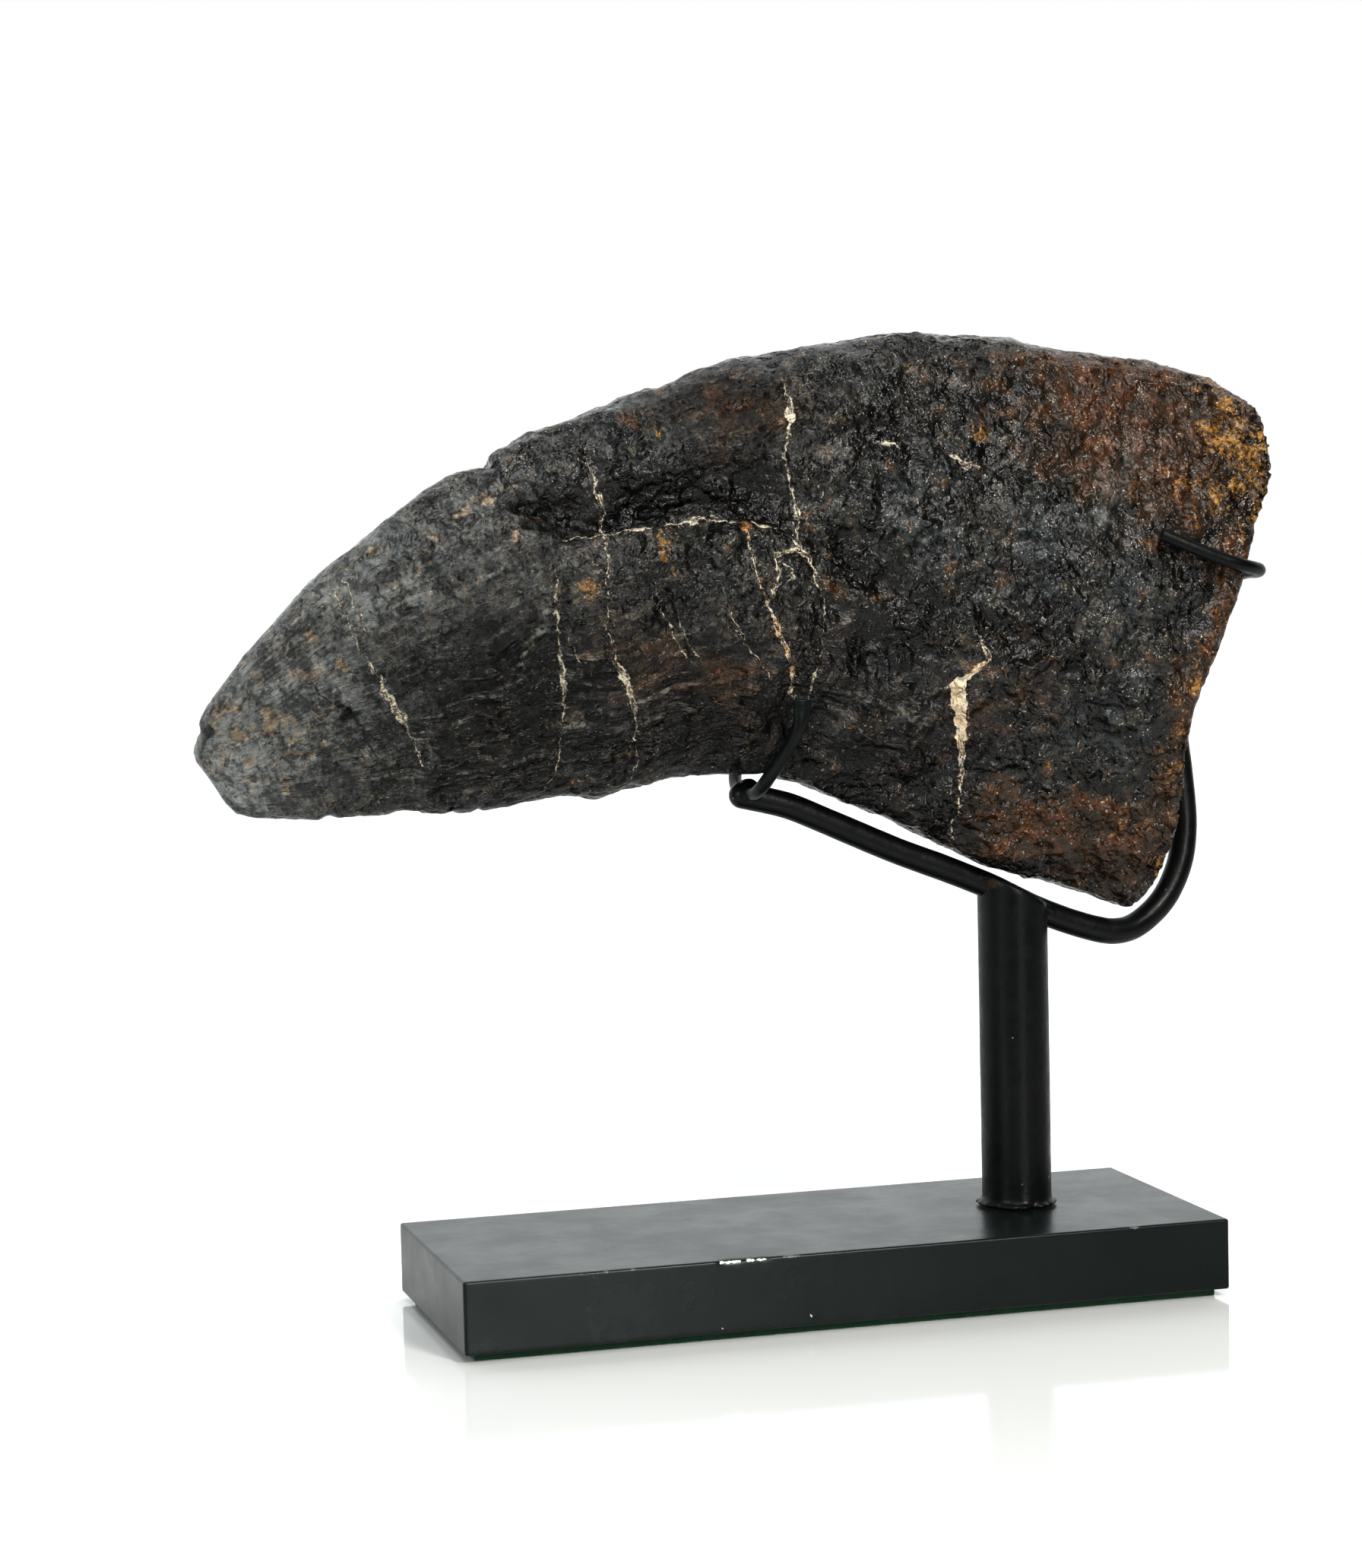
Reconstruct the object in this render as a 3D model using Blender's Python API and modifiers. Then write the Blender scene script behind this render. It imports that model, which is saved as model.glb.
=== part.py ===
"""Fossil claw of a large meat-eating dinosaur, held by wires on a small black stand.

Frame: metres, +Z up. The origin is the centre of the felt pad's underside, on the surface that the stand
rests on. +X runs along the base from the claw's tip to its jointed end, and the claw's mid-plane is y = 0.
Lengths below are in millimetres and are turned into metres where a mesh is made.
"""

import math

import bmesh
import bpy
from mathutils import Vector, noise

MM = 0.001
GAP = 0.3                       # clearance between pieces that touch

# ---------------------------------------------------------------- stand
FELT = (136.0, 50.0, 1.1)
BASE = (140.0, 54.0, 12.7)      # 5 1/2 in long, 1/2 in thick
BASE_EDGE = 0.5
POST_RADIUS = 6.35              # 1/2 in rod
POST_X = 40.0
POST_FOOT_FLARE = 0.9           # bead of lacquer and weld round the foot
POST_FOOT_HEIGHT = 1.2
ROD_RADIUS = 2.38               # 3/16 in rod
WIRE_RADIUS = 1.19              # 3/32 in wire

POST_SEGMENTS = 28
POST_BLANK_TOP = 80.0           # height of the post before its slanted top is cut
POST_STRETCH = (7, 8)           # the two route points between which the rod crosses the post
POST_OVERLAP = 0.6              # how far up the rod the post's slanted top reaches, in rod radii
CUTTER_SIZE = 60.0

BASE_BOTTOM = FELT[2] + GAP
BASE_TOP = BASE_BOTTOM + BASE[2]

# The rod's centre line, from its front end under the claw, over the post and up behind the heel.
ROD_ROUTE = (
    (-11.0, 0.0, 91.8), (-6.6, 0.0, 90.7), (-1.9, 0.0, 89.3), (4.9, 0.0, 86.3), (11.9, 0.0, 83.1),
    (18.9, 0.0, 80.0), (27.0, 0.0, 76.8), (35.8, 0.0, 73.0), (44.4, 0.0, 68.6), (50.4, 0.0, 66.1),
    (55.8, 0.0, 64.3), (60.0, 0.3, 63.5), (64.0, 1.0, 64.0), (68.0, 1.8, 66.2), (71.6, 2.6, 69.6),
    (74.6, 3.6, 74.8), (76.2, 4.8, 80.4), (76.6, 6.0, 86.5), (76.4, 7.0, 93.0), (76.0, 7.6, 98.5),
    (76.2, 8.2, 104.5), (77.6, 8.5, 111.0), (79.4, 8.5, 116.5), (80.9, 8.5, 120.4),
)
# The front clip: a U of wire, from the near prong's end, under the claw, to the far prong's end.
CLIP_ROUTE = (
    (-4.4, -15.9, 109.2), (-4.7, -15.5, 105.8), (-5.7, -14.4, 102.6), (-7.2, -12.8, 99.4),
    (-8.8, -10.6, 96.2), (-9.8, -8.2, 93.8), (-10.2, -5.0, 92.5), (-10.2, 0.0, 92.3),
    (-10.2, 5.0, 92.5), (-9.8, 8.2, 93.8), (-8.8, 10.9, 96.2), (-7.4, 13.4, 99.4),
    (-5.8, 15.0, 102.6), (-4.8, 15.9, 105.6),
)
# The rear hook: from the near prong's end, round the jointed end above the rod, to the far prong's end.
HOOK_ROUTE = (
    (61.0, -21.9, 136.5), (65.8, -22.5, 134.4), (70.9, -22.9, 132.3), (75.9, -22.9, 130.7),
    (80.1, -20.4, 129.8), (82.0, -15.5, 129.3), (82.6, -10.0, 129.1), (82.6, -4.0, 128.0),
    (82.2, 3.0, 125.0), (81.9, 8.5, 122.6), (82.3, 13.0, 123.6), (82.2, 17.0, 126.2),
    (80.2, 20.4, 128.6), (76.0, 22.6, 130.6), (70.0, 23.2, 132.6), (64.0, 22.8, 134.8),
)

# ---------------------------------------------------------------- claw
# Sections from the worn tip to the jointed end: upper edge x, z; lower edge x, z; half width.
CLAW_SECTIONS = (
    (-107.2, 108.0, -101.6, 92.9, 3.2),
    (-104.8, 112.6, -97.6, 92.0, 5.6),
    (-98.2, 121.0, -88.6, 91.5, 7.8),
    (-88.6, 131.2, -77.4, 91.1, 9.8),
    (-77.2, 140.4, -66.8, 91.1, 11.3),
    (-64.6, 148.6, -56.6, 91.7, 12.6),
    (-50.4, 155.4, -46.6, 93.2, 13.6),
    (-36.4, 160.8, -36.6, 93.1, 14.3),
    (-21.6, 166.0, -26.0, 95.2, 14.9),
    (-6.2, 170.1, -15.4, 96.0, 15.5),
    (9.4, 172.4, -3.8, 94.6, 16.2),
    (25.0, 173.6, 8.4, 89.5, 17.1),
    (40.0, 172.2, 21.6, 83.2, 18.3),
    (54.0, 169.6, 35.0, 77.2, 19.8),
    (67.0, 167.8, 48.4, 72.6, 21.2),
    (78.6, 164.6, 61.0, 67.9, 21.8),
)
# How far the jointed end bows out (+X) or in from the straight line of the last section, top to bottom.
HEEL_BOW = (0.0, 7.2, 10.2, 10.0, 8.4, 5.8, 4.3, 2.7, 0.8, -0.7, -0.4, 1.6, 3.0, 3.6, 2.8, 0.4)
TIP_BOW = (0.0, -1.4, -1.6, -1.0, 0.0)
RINGS = 72
RING_POINTS = 48
UPPER_FULLNESS = 0.80           # power of the sine that rounds the section towards its upper edge
LOWER_FULLNESS = 0.52
WIDEST = 0.55                   # where the side is widest, as a fraction from the upper edge down
UPPER_LIP_TAPER = 0.22          # share of the width lost at the jointed end's upper lip
LOWER_KNOB_TAPER = 0.42         # and at the knob below the joint, where the bending tendon held
RING_CROWDING = 0.022           # how much closer together the rings are at the two ends
TIP_SWELL = 1.3                 # how far the rounded tip stands out from its first section
RIM_SWELL = 1.1                 # height of the rolled rim round the joint face
CUP_DEPTH = 3.4
RIDGE_HEIGHT = 1.6
CAP_RINGS = 4
JOINT_CAP_RINGS = 6
JOINT_FACE_CROWDING = 1.3       # above 1, the joint face's rings lie closer to its rim
RIM_WIDTH = 0.16                # of the joint face's half size
CUP_REACH = 18.0                # from the ridge to the outer edge of a cup
RIDGE_WIDTH = 4.0
HEEL_BOW_SPREAD = 9             # powers with which the two bows fade away from their ends
TIP_BOW_SPREAD = 24
TIP_FACING = (-0.92, 0.0, -0.38)
JOINT_FACING = (0.985, 0.0, -0.17)
# The heel's tapers: where they start and end, down the section and along the claw.
UPPER_LIP_SPAN = (0.0, 0.35)
LOWER_KNOB_SPAN = (0.55, 0.85)
HEEL_SPAN = (0.62, 1.0)

# Blood-vessel groove on each side: route in x, z from the blade to above the heel, with its depth.
GROOVE = (
    (-54.0, 140.4, 0.6), (-47.2, 140.2, 2.3), (-37.4, 139.4, 2.8), (-27.9, 140.6, 2.8), (-18.2, 141.2, 2.4),
    (-8.0, 139.8, 1.9), (-1.3, 136.4, 1.5), (6.0, 132.8, 1.5), (14.4, 127.9, 1.3), (22.0, 119.8, 0.8),
    (28.0, 112.0, 0.2),
)
GROOVE_ABOVE = 8.0              # reach of the hollow above the groove's floor
GROOVE_BELOW = 1.6              # reach of the steep lip below it
LIP_HEIGHT = 0.5
LIP_WIDTH = 2.4
LIP_OFFSET = 3.2
# Soft hollows (negative) and swellings on the sides: x, z, radius, height.
SIDE_FORMS = (
    (-18.0, 156.0, 15.0, 0.9),
    (18.0, 104.0, 13.0, -1.3),
    (2.0, 116.0, 10.0, 0.8),
    (40.0, 120.0, 16.0, 0.9),
    (46.0, 100.0, 11.0, -0.9),
    (58.0, 84.0, 12.0, 1.0),
    (52.0, 146.0, 13.0, -1.2),
    (72.0, 152.0, 10.0, 1.1),
    (66.0, 118.0, 9.0, -0.8),
    (-84.0, 104.0, 12.0, 0.5),
)
# Nicks in the outline: x, z, radius, depth.
NICKS = (
    (-57.2, 152.2, 1.9, 1.0),
    (-108.2, 106.6, 1.4, 0.8),
    (-71.8, 90.8, 1.3, 0.6),
    (-50.4, 92.2, 2.0, 0.7),
    (88.0, 132.0, 4.0, 1.0),
)
LUMP_SIZE = 15.0
LUMP_HEIGHT = 0.75
WRINKLE_SIZE = 6.0
WRINKLE_HEIGHT = 0.45
LUMP_SHIFT = (31.0, 7.0, 12.0)  # where in the noise the claw lies
CURVE_SAMPLES = 600


def clear_scene():
    """Remove what the scene holds, so that the script can be run again."""
    for item in list(bpy.data.objects):
        bpy.data.objects.remove(item, do_unlink=True)


def make_collection(name):
    collection = bpy.data.collections.new(name)
    bpy.context.scene.collection.children.link(collection)
    return collection


def make_material(name, colour, roughness):
    material = bpy.data.materials.new(name)
    material.use_nodes = True
    shader = material.node_tree.nodes["Principled BSDF"]
    shader.inputs["Base Color"].default_value = (*colour, 1.0)
    shader.inputs["Roughness"].default_value = roughness
    shader.inputs["Metallic"].default_value = 0.0
    return material


def add_object(name, mesh, material, collection):
    mesh.materials.append(material)
    item = bpy.data.objects.new(name, mesh)
    collection.objects.link(item)
    return item


# ---------------------------------------------------------------- smooth curves
def spline_point(points, place):
    """Catmull-Rom through a list of vectors; place runs from 0 to 1 along the list."""
    last = len(points) - 1
    position = min(max(place, 0.0), 1.0) * last
    index = min(int(position), last - 1)
    step = position - index
    before = points[max(index - 1, 0)]
    start = points[index]
    end = points[index + 1]
    after = points[min(index + 2, last)]
    return 0.5 * (
        2.0 * start
        + (end - before) * step
        + (2.0 * before - 5.0 * start + 4.0 * end - after) * step ** 2
        + (3.0 * start - before - 3.0 * end + after) * step ** 3
    )


def smooth_route(route, spacing):
    """Points a given distance apart (mm) on the smooth curve through a route, as vectors in millimetres."""
    corners = [Vector(point) for point in route]
    fine = [spline_point(corners, step / CURVE_SAMPLES) for step in range(CURVE_SAMPLES + 1)]
    length = sum((end - start).length for start, end in zip(fine, fine[1:]))
    count = max(2, round(length / spacing))
    points = [fine[0]]
    walked = 0.0
    for start, end in zip(fine, fine[1:]):
        walked += (end - start).length
        while len(points) < count and walked >= length * len(points) / count - 1e-6:
            points.append(end)
    points.append(fine[-1])
    return points


# ---------------------------------------------------------------- claw
def knots(values):
    """Plain numbers as vectors, so that the smooth curve can run through them."""
    return [Vector((value, 0.0, 0.0)) for value in values]


UPPER_EDGE = [Vector((row[0], 0.0, row[1])) for row in CLAW_SECTIONS]
LOWER_EDGE = [Vector((row[2], 0.0, row[3])) for row in CLAW_SECTIONS]
HALF_WIDTHS = knots([row[4] for row in CLAW_SECTIONS])
HEEL_CURVE = knots(HEEL_BOW)
TIP_CURVE = knots(TIP_BOW)


def smooth_step(low, high, value):
    share = min(max((value - low) / (high - low), 0.0), 1.0)
    return share * share * (3.0 - 2.0 * share)


def mid_plane(along, down):
    """A point of the mid-plane: along from the tip (0) to the joint (1), down from the upper edge (0) to the
    lower edge (1)."""
    point = spline_point(UPPER_EDGE, along).lerp(spline_point(LOWER_EDGE, along), down)
    point.x += spline_point(HEEL_CURVE, down).x * along ** HEEL_BOW_SPREAD
    point.x += spline_point(TIP_CURVE, down).x * (1.0 - along) ** TIP_BOW_SPREAD
    return point


def half_width(along, angle):
    """Half the thickness of a section, at an angle from its upper edge (0) to its lower edge (pi)."""
    share = 0.5 - 0.5 * math.cos(angle)
    power = UPPER_FULLNESS + (LOWER_FULLNESS - UPPER_FULLNESS) * share
    upper = UPPER_LIP_TAPER * (1.0 - smooth_step(*UPPER_LIP_SPAN, share))
    lower = LOWER_KNOB_TAPER * smooth_step(*LOWER_KNOB_SPAN, share)
    taper = 1.0 - (upper + lower) * smooth_step(*HEEL_SPAN, along)
    return spline_point(HALF_WIDTHS, along).x * taper * math.sin(angle) ** power


def section_fraction(angle):
    """How far down the section a ring point lies, with the widest place moved to WIDEST."""
    share = 0.5 - 0.5 * math.cos(angle)
    return share + (WIDEST - 0.5) * math.sin(angle) ** 2


def ring_angles():
    """Angles round a section; the far side is the mirror of the near side."""
    half = RING_POINTS // 2
    near = [math.pi * step / half for step in range(half + 1)]
    return [(angle, -1.0) for angle in near] + [(angle, 1.0) for angle in reversed(near[1:-1])]


def ring_point(along, angle, side, shrink=1.0):
    """A point on the claw's skin, before it is sculpted; shrink pulls it to the middle of its section."""
    down = section_fraction(angle)
    down = 0.5 + (down - 0.5) * shrink
    point = mid_plane(along, down)
    point.y = side * half_width(along, angle) * shrink
    return point


def joint_face_depth(y, down):
    """The jointed end: two shallow cups on each side of a low upright ridge (mm, negative is hollow)."""
    across = min(abs(y) / CUP_REACH, 1.0)
    middle = math.sin(math.pi * min(max(down, 0.0), 1.0))
    cup = CUP_DEPTH * middle * math.sin(math.pi * across ** 0.8)
    ridge = RIDGE_HEIGHT * middle * math.exp(-((y / RIDGE_WIDTH) ** 2))
    return ridge - cup


def ring_places():
    """Places of the rings along the claw, closer together at the two ends."""
    shares = [step / (RINGS - 1) for step in range(RINGS)]
    return [share - RING_CROWDING * math.sin(2.0 * math.pi * share) for share in shares]


def add_ring(mesh, points):
    return [mesh.verts.new(point) for point in points]


def bridge(mesh, first, second):
    count = len(first)
    for i in range(count):
        j = (i + 1) % count
        mesh.faces.new((first[i], first[j], second[j], second[i]))


def close_cap(mesh, ring, centre):
    middle = mesh.verts.new(centre)
    for i in range(len(ring)):
        mesh.faces.new((ring[i], ring[(i + 1) % len(ring)], middle))


def loft_claw(mesh):
    """The plain claw: rings along its length, a rounded worn tip and the jointed end face."""
    angles = ring_angles()
    rings = []
    for place in ring_places():
        rings.append(add_ring(mesh, [ring_point(place, angle, side) for angle, side in angles]))
    for first, second in zip(rings, rings[1:]):
        bridge(mesh, first, second)

    inner = rings[0]
    for step in range(1, CAP_RINGS):
        shrink = 1.0 - step / CAP_RINGS
        points = [ring_point(0.0, angle, side, shrink) for angle, side in angles]
        swell = TIP_SWELL * math.sqrt(1.0 - shrink ** 2)
        points = [point + Vector(TIP_FACING) * swell for point in points]
        ring = add_ring(mesh, points)
        bridge(mesh, ring, inner)
        inner = ring
    close_cap(mesh, inner, mid_plane(0.0, 0.5) + Vector(TIP_FACING) * TIP_SWELL)

    outer = rings[-1]
    for step in range(1, JOINT_CAP_RINGS):
        shrink = 1.0 - (step / JOINT_CAP_RINGS) ** JOINT_FACE_CROWDING
        points = []
        for angle, side in angles:
            point = ring_point(1.0, angle, side, shrink)
            down = 0.5 + (section_fraction(angle) - 0.5) * shrink
            rim = RIM_SWELL * math.exp(-((1.0 - shrink) / RIM_WIDTH) ** 2)
            point += Vector(JOINT_FACING) * (joint_face_depth(point.y, down) + rim)
            points.append(point)
        ring = add_ring(mesh, points)
        bridge(mesh, outer, ring)
        outer = ring
    centre = mid_plane(1.0, 0.5)
    close_cap(mesh, outer, centre + Vector((joint_face_depth(0.0, 0.5), 0.0, 0.0)))


def nearest_on_groove(x, z):
    """Signed distance below (negative) or above the groove's route, and the groove's depth there."""
    best = None
    for start, end in zip(GROOVE, GROOVE[1:]):
        run = Vector((end[0] - start[0], end[1] - start[1]))
        reach = Vector((x - start[0], z - start[1]))
        share = min(max(reach.dot(run) / run.length_squared, 0.0), 1.0)
        offset = reach - run * share
        if best is None or offset.length < best[0]:
            above = run.x * reach.y - run.y * reach.x >= 0.0
            depth = start[2] + (end[2] - start[2]) * share
            best = (offset.length, above, depth)
    return best


def groove_depth(x, z):
    """Depth of the groove's hollow (mm, positive is inward), steep below its floor and gentle above."""
    distance, above, depth = nearest_on_groove(x, z)
    if above:
        return depth * math.exp(-((distance / GROOVE_ABOVE) ** 2) * 1.6)
    lip = LIP_HEIGHT * math.exp(-(((distance - LIP_OFFSET) / LIP_WIDTH) ** 2))
    return depth * math.exp(-((distance / GROOVE_BELOW) ** 2)) - lip * min(depth / 2.0, 1.0)


def side_form(x, z):
    height = 0.0
    for centre_x, centre_z, radius, rise in SIDE_FORMS:
        spread = ((x - centre_x) ** 2 + (z - centre_z) ** 2) / radius ** 2
        height += rise * math.exp(-spread)
    return height


def nick_depth(x, z):
    depth = 0.0
    for centre_x, centre_z, radius, cut in NICKS:
        spread = ((x - centre_x) ** 2 + (z - centre_z) ** 2) / radius ** 2
        depth += cut * math.exp(-spread)
    return depth


def lumps(point):
    """Rolling lumps and coarse wrinkles of the fossil's skin (mm)."""
    shift = Vector(LUMP_SHIFT)
    rolling = noise.fractal((point + shift) / LUMP_SIZE, 0.8, 2.0, 2)
    creases = 1.0 - 2.0 * abs(noise.noise((point - shift) / WRINKLE_SIZE))
    return LUMP_HEIGHT * rolling + WRINKLE_HEIGHT * (creases - 0.6)


def sculpt_claw(mesh):
    """Push the plain claw's skin in and out to give the groove, swellings, nicks and lumps."""
    mesh.normal_update()
    moves = []
    for vertex in mesh.verts:
        point = vertex.co
        sideways = min(abs(vertex.normal.y) * 1.4, 1.0)
        amount = lumps(point)
        amount += sideways * (side_form(point.x, point.z) - groove_depth(point.x, point.z))
        amount -= nick_depth(point.x, point.z)
        moves.append((vertex, vertex.normal * amount))
    for vertex, move in moves:
        vertex.co += move


def build_claw(collection, material):
    mesh = bmesh.new()
    loft_claw(mesh)
    bmesh.ops.recalc_face_normals(mesh, faces=mesh.faces)
    sculpt_claw(mesh)
    bmesh.ops.scale(mesh, vec=(MM, MM, MM), verts=mesh.verts)
    bmesh.ops.triangulate(mesh, faces=mesh.faces)
    data = bpy.data.meshes.new("fossil_claw")
    mesh.to_mesh(data)
    mesh.free()
    data.shade_smooth()
    return add_object("fossil_claw", data, material, collection)


# ---------------------------------------------------------------- stand
def add_tube(name, route, radius, spacing, collection, material):
    """A round wire along a route, as a mesh with closed ends."""
    curve = bpy.data.curves.new(name, "CURVE")
    curve.dimensions = "3D"
    curve.bevel_depth = radius * MM
    curve.bevel_resolution = 2
    curve.use_fill_caps = True
    points = smooth_route(route, spacing)
    spline = curve.splines.new("POLY")
    spline.points.add(len(points) - 1)
    for item, point in zip(spline.points, points):
        item.co = (*(point * MM), 1.0)
    guide = bpy.data.objects.new(name + "_curve", curve)
    collection.objects.link(guide)
    bpy.context.view_layer.update()
    solid = guide.evaluated_get(bpy.context.evaluated_depsgraph_get())
    data = bpy.data.meshes.new_from_object(solid)
    bpy.data.objects.remove(guide, do_unlink=True)
    welded = bmesh.new()
    welded.from_mesh(data)
    bmesh.ops.remove_doubles(welded, verts=welded.verts, dist=0.00001)
    bmesh.ops.recalc_face_normals(welded, faces=welded.faces)
    welded.to_mesh(data)
    welded.free()
    data.name = name
    data.materials.clear()
    data.shade_smooth()
    data.set_sharp_from_angle(angle=math.radians(50.0))
    return add_object(name, data, material, collection)


def add_block(name, size, bottom, edge, collection, material):
    """A rectangular block with its corners eased, standing on z = bottom."""
    mesh = bmesh.new()
    bmesh.ops.create_cube(mesh, size=1.0)
    bmesh.ops.scale(mesh, vec=Vector(size) * MM, verts=mesh.verts)
    data = bpy.data.meshes.new(name)
    mesh.to_mesh(data)
    mesh.free()
    block = add_object(name, data, material, collection)
    block.location = (0.0, 0.0, (bottom + size[2] / 2.0) * MM)
    if edge > 0.0:
        bevel = block.modifiers.new("eased_edges", "BEVEL")
        bevel.width = edge * MM
        bevel.segments = 2
        bevel.limit_method = "ANGLE"
    return block


def cut(target, cutter):
    """Take a cutter's shape out of a piece."""
    cutter.hide_render = True
    cutter.display_type = "WIRE"
    modifier = target.modifiers.new("cut_" + cutter.name, "BOOLEAN")
    modifier.operation = "DIFFERENCE"
    modifier.solver = "EXACT"
    modifier.object = cutter


def build_post(collection, cutters, material):
    """The post: a turned rod with a beaded foot, its top cut on the slant and grooved for the cradle rod."""
    foot = BASE_TOP + GAP
    foot_radius = POST_RADIUS + POST_FOOT_FLARE
    profile = (
        (0.0, POST_BLANK_TOP),
        (POST_RADIUS, POST_BLANK_TOP),
        (POST_RADIUS, foot + POST_FOOT_HEIGHT * 1.6),
        (POST_RADIUS + POST_FOOT_FLARE * 0.4, foot + POST_FOOT_HEIGHT * 0.8),
        (foot_radius, foot + POST_FOOT_HEIGHT * 0.2),
        (foot_radius, foot),
        (0.0, foot),
    )
    data = bpy.data.meshes.new("post")
    data.from_pydata([(x * MM, 0.0, z * MM) for x, z in profile],
                     [(i, i + 1) for i in range(len(profile) - 1)], [])
    post = add_object("post", data, material, collection)
    post.location = (POST_X * MM, 0.0, 0.0)
    screw = post.modifiers.new("turned", "SCREW")
    screw.steps = POST_SEGMENTS
    screw.render_steps = POST_SEGMENTS
    screw.use_merge_vertices = True
    screw.merge_threshold = 0.00001

    before = Vector(ROD_ROUTE[POST_STRETCH[0]])
    after = Vector(ROD_ROUTE[POST_STRETCH[1]])
    slope = math.atan2(after.z - before.z, after.x - before.x)
    middle = (before + after) / 2.0
    mesh = bmesh.new()
    bmesh.ops.create_cube(mesh, size=CUTTER_SIZE * MM)
    slab_data = bpy.data.meshes.new("slant_cutter")
    mesh.to_mesh(slab_data)
    mesh.free()
    slab = add_object("slant_cutter", slab_data, material, cutters)
    rise = ROD_RADIUS * POST_OVERLAP + CUTTER_SIZE / 2.0
    slab.location = (middle + Vector((-math.sin(slope), 0.0, math.cos(slope))) * rise) * MM
    slab.rotation_euler = (0.0, -slope, 0.0)
    cut(post, slab)
    groove = add_tube("rod_groove_cutter", ROD_ROUTE[5:12], ROD_RADIUS + GAP, 2.6, cutters, material)
    cut(post, groove)
    return post


def build_stand(collection, cutters):
    lacquer = make_material("black_lacquer", (0.012, 0.014, 0.015), 0.35)
    steel = make_material("black_painted_steel", (0.006, 0.007, 0.007), 0.32)
    felt = make_material("green_felt", (0.010, 0.045, 0.020), 0.95)
    add_block("felt_pad", FELT, 0.0, 0.0, collection, felt)
    add_block("base_block", BASE, BASE_BOTTOM, BASE_EDGE, collection, lacquer)
    build_post(collection, cutters, steel)
    rod = add_tube("cradle_rod", ROD_ROUTE, ROD_RADIUS, 4.2, collection, steel)
    saddle = add_tube("clip_saddle_cutter", CLIP_ROUTE[4:10], WIRE_RADIUS + GAP, 2.0, cutters, steel)
    cut(rod, saddle)
    add_tube("front_clip", CLIP_ROUTE, WIRE_RADIUS, 2.6, collection, steel)
    add_tube("rear_hook", HOOK_ROUTE, WIRE_RADIUS, 2.8, collection, steel)


def main():
    clear_scene()
    parts = make_collection("fossil_claw_on_stand")
    cutters = make_collection("cutters")
    fossil = make_material("fossil_bone", (0.022, 0.021, 0.020), 0.42)
    build_claw(parts, fossil)
    build_stand(parts, cutters)


main()
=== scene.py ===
"""Looks for a fossil claw on its small black stand.

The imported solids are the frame. A finer piece stands for each of them: the claw gets its leathery, fibrous
and cracked skin, the stand its paint, welds and wear. Sizes are in millimetres and become metres where a
mesh is made; only the floor and the softboxes are given in metres. Places on the claw's sides are given as
x and z in the part's own frame.
"""

import itertools
import math

import bmesh
import bpy
import numpy as np
from mathutils import Matrix, Vector


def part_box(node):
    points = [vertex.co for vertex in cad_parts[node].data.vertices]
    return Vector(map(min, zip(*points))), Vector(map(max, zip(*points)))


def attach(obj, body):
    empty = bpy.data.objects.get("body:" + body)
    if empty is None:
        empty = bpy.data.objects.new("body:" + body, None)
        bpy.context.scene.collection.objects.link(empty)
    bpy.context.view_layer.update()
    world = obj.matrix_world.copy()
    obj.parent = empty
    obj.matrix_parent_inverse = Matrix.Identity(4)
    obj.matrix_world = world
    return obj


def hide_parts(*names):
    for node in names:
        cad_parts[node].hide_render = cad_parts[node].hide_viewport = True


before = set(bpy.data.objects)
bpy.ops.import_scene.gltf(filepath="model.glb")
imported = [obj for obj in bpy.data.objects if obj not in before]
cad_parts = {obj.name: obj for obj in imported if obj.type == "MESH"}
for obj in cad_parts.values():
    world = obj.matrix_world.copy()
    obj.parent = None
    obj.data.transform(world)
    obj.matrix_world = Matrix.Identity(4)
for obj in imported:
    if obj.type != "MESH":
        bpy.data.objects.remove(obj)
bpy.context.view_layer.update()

MM = 0.001
IMAGE_SIZE = (1792, 2063)

# ---------------------------------------------------------------- the stand's sizes
ROD_RADIUS = 2.38
WIRE_RADIUS = 1.19
POST_RADIUS = 6.35
POST_X = 40.0
POST_SIDES = 96
POST_RINGS = 60
POST_STRETCH = (7, 8)           # the two points of the rod's route between which it crosses the post
POST_OVERLAP = 0.6              # how far up the rod the post's slanted top reaches, in rod radii
# The ragged bead round the post's foot: height above the base, and how far it stands out there.
FOOT_BEAD = ((0.0, 0.55), (0.25, 0.85), (0.55, 0.75), (0.8, 0.32), (1.1, 0.1), (1.6, 0.0))
FOOT_RADIUS = 7.2               # of the post's underside
FOOT_RAGGED = 0.9               # share by which noise changes the bead
# The post's eased top edge and its flat top: how far in from the side, and how far down.
POST_TOP = ((0.1, 0.1), (0.3, 0.0), (2.0, 0.0), (4.0, 0.0), (6.2, 0.0))
POST_TOP_EDGE = 0.3
WELD_RADIUS = 0.85
# Welds where the thin wires meet the rod: name, middle, half sizes.
WELD_LUMPS = (
    ("clip_weld", (-9.9, 0.0, 92.3), (2.5, 3.5, 2.3)),
    ("hook_weld", (81.7, 8.5, 121.6), (2.3, 3.0, 2.3)),
)
# Rust on the stand: x, z, half length, half height.
ROD_RUST = ((33.5, 75.6, 1.0, 1.2), (48.6, 64.2, 1.2, 1.0))
POST_RUST = ((34.5, 74.0, 1.6, 1.5), (46.0, 66.5, 1.6, 1.5))
WELD_RUST = ((33.4, 73.2, 1.2, 1.2), (46.6, 66.4, 1.2, 1.2))
BASE_CELLS = (200, 54, 13)      # cuts along each edge of the block
FELT_CELLS = (150, 56, 2)
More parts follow.
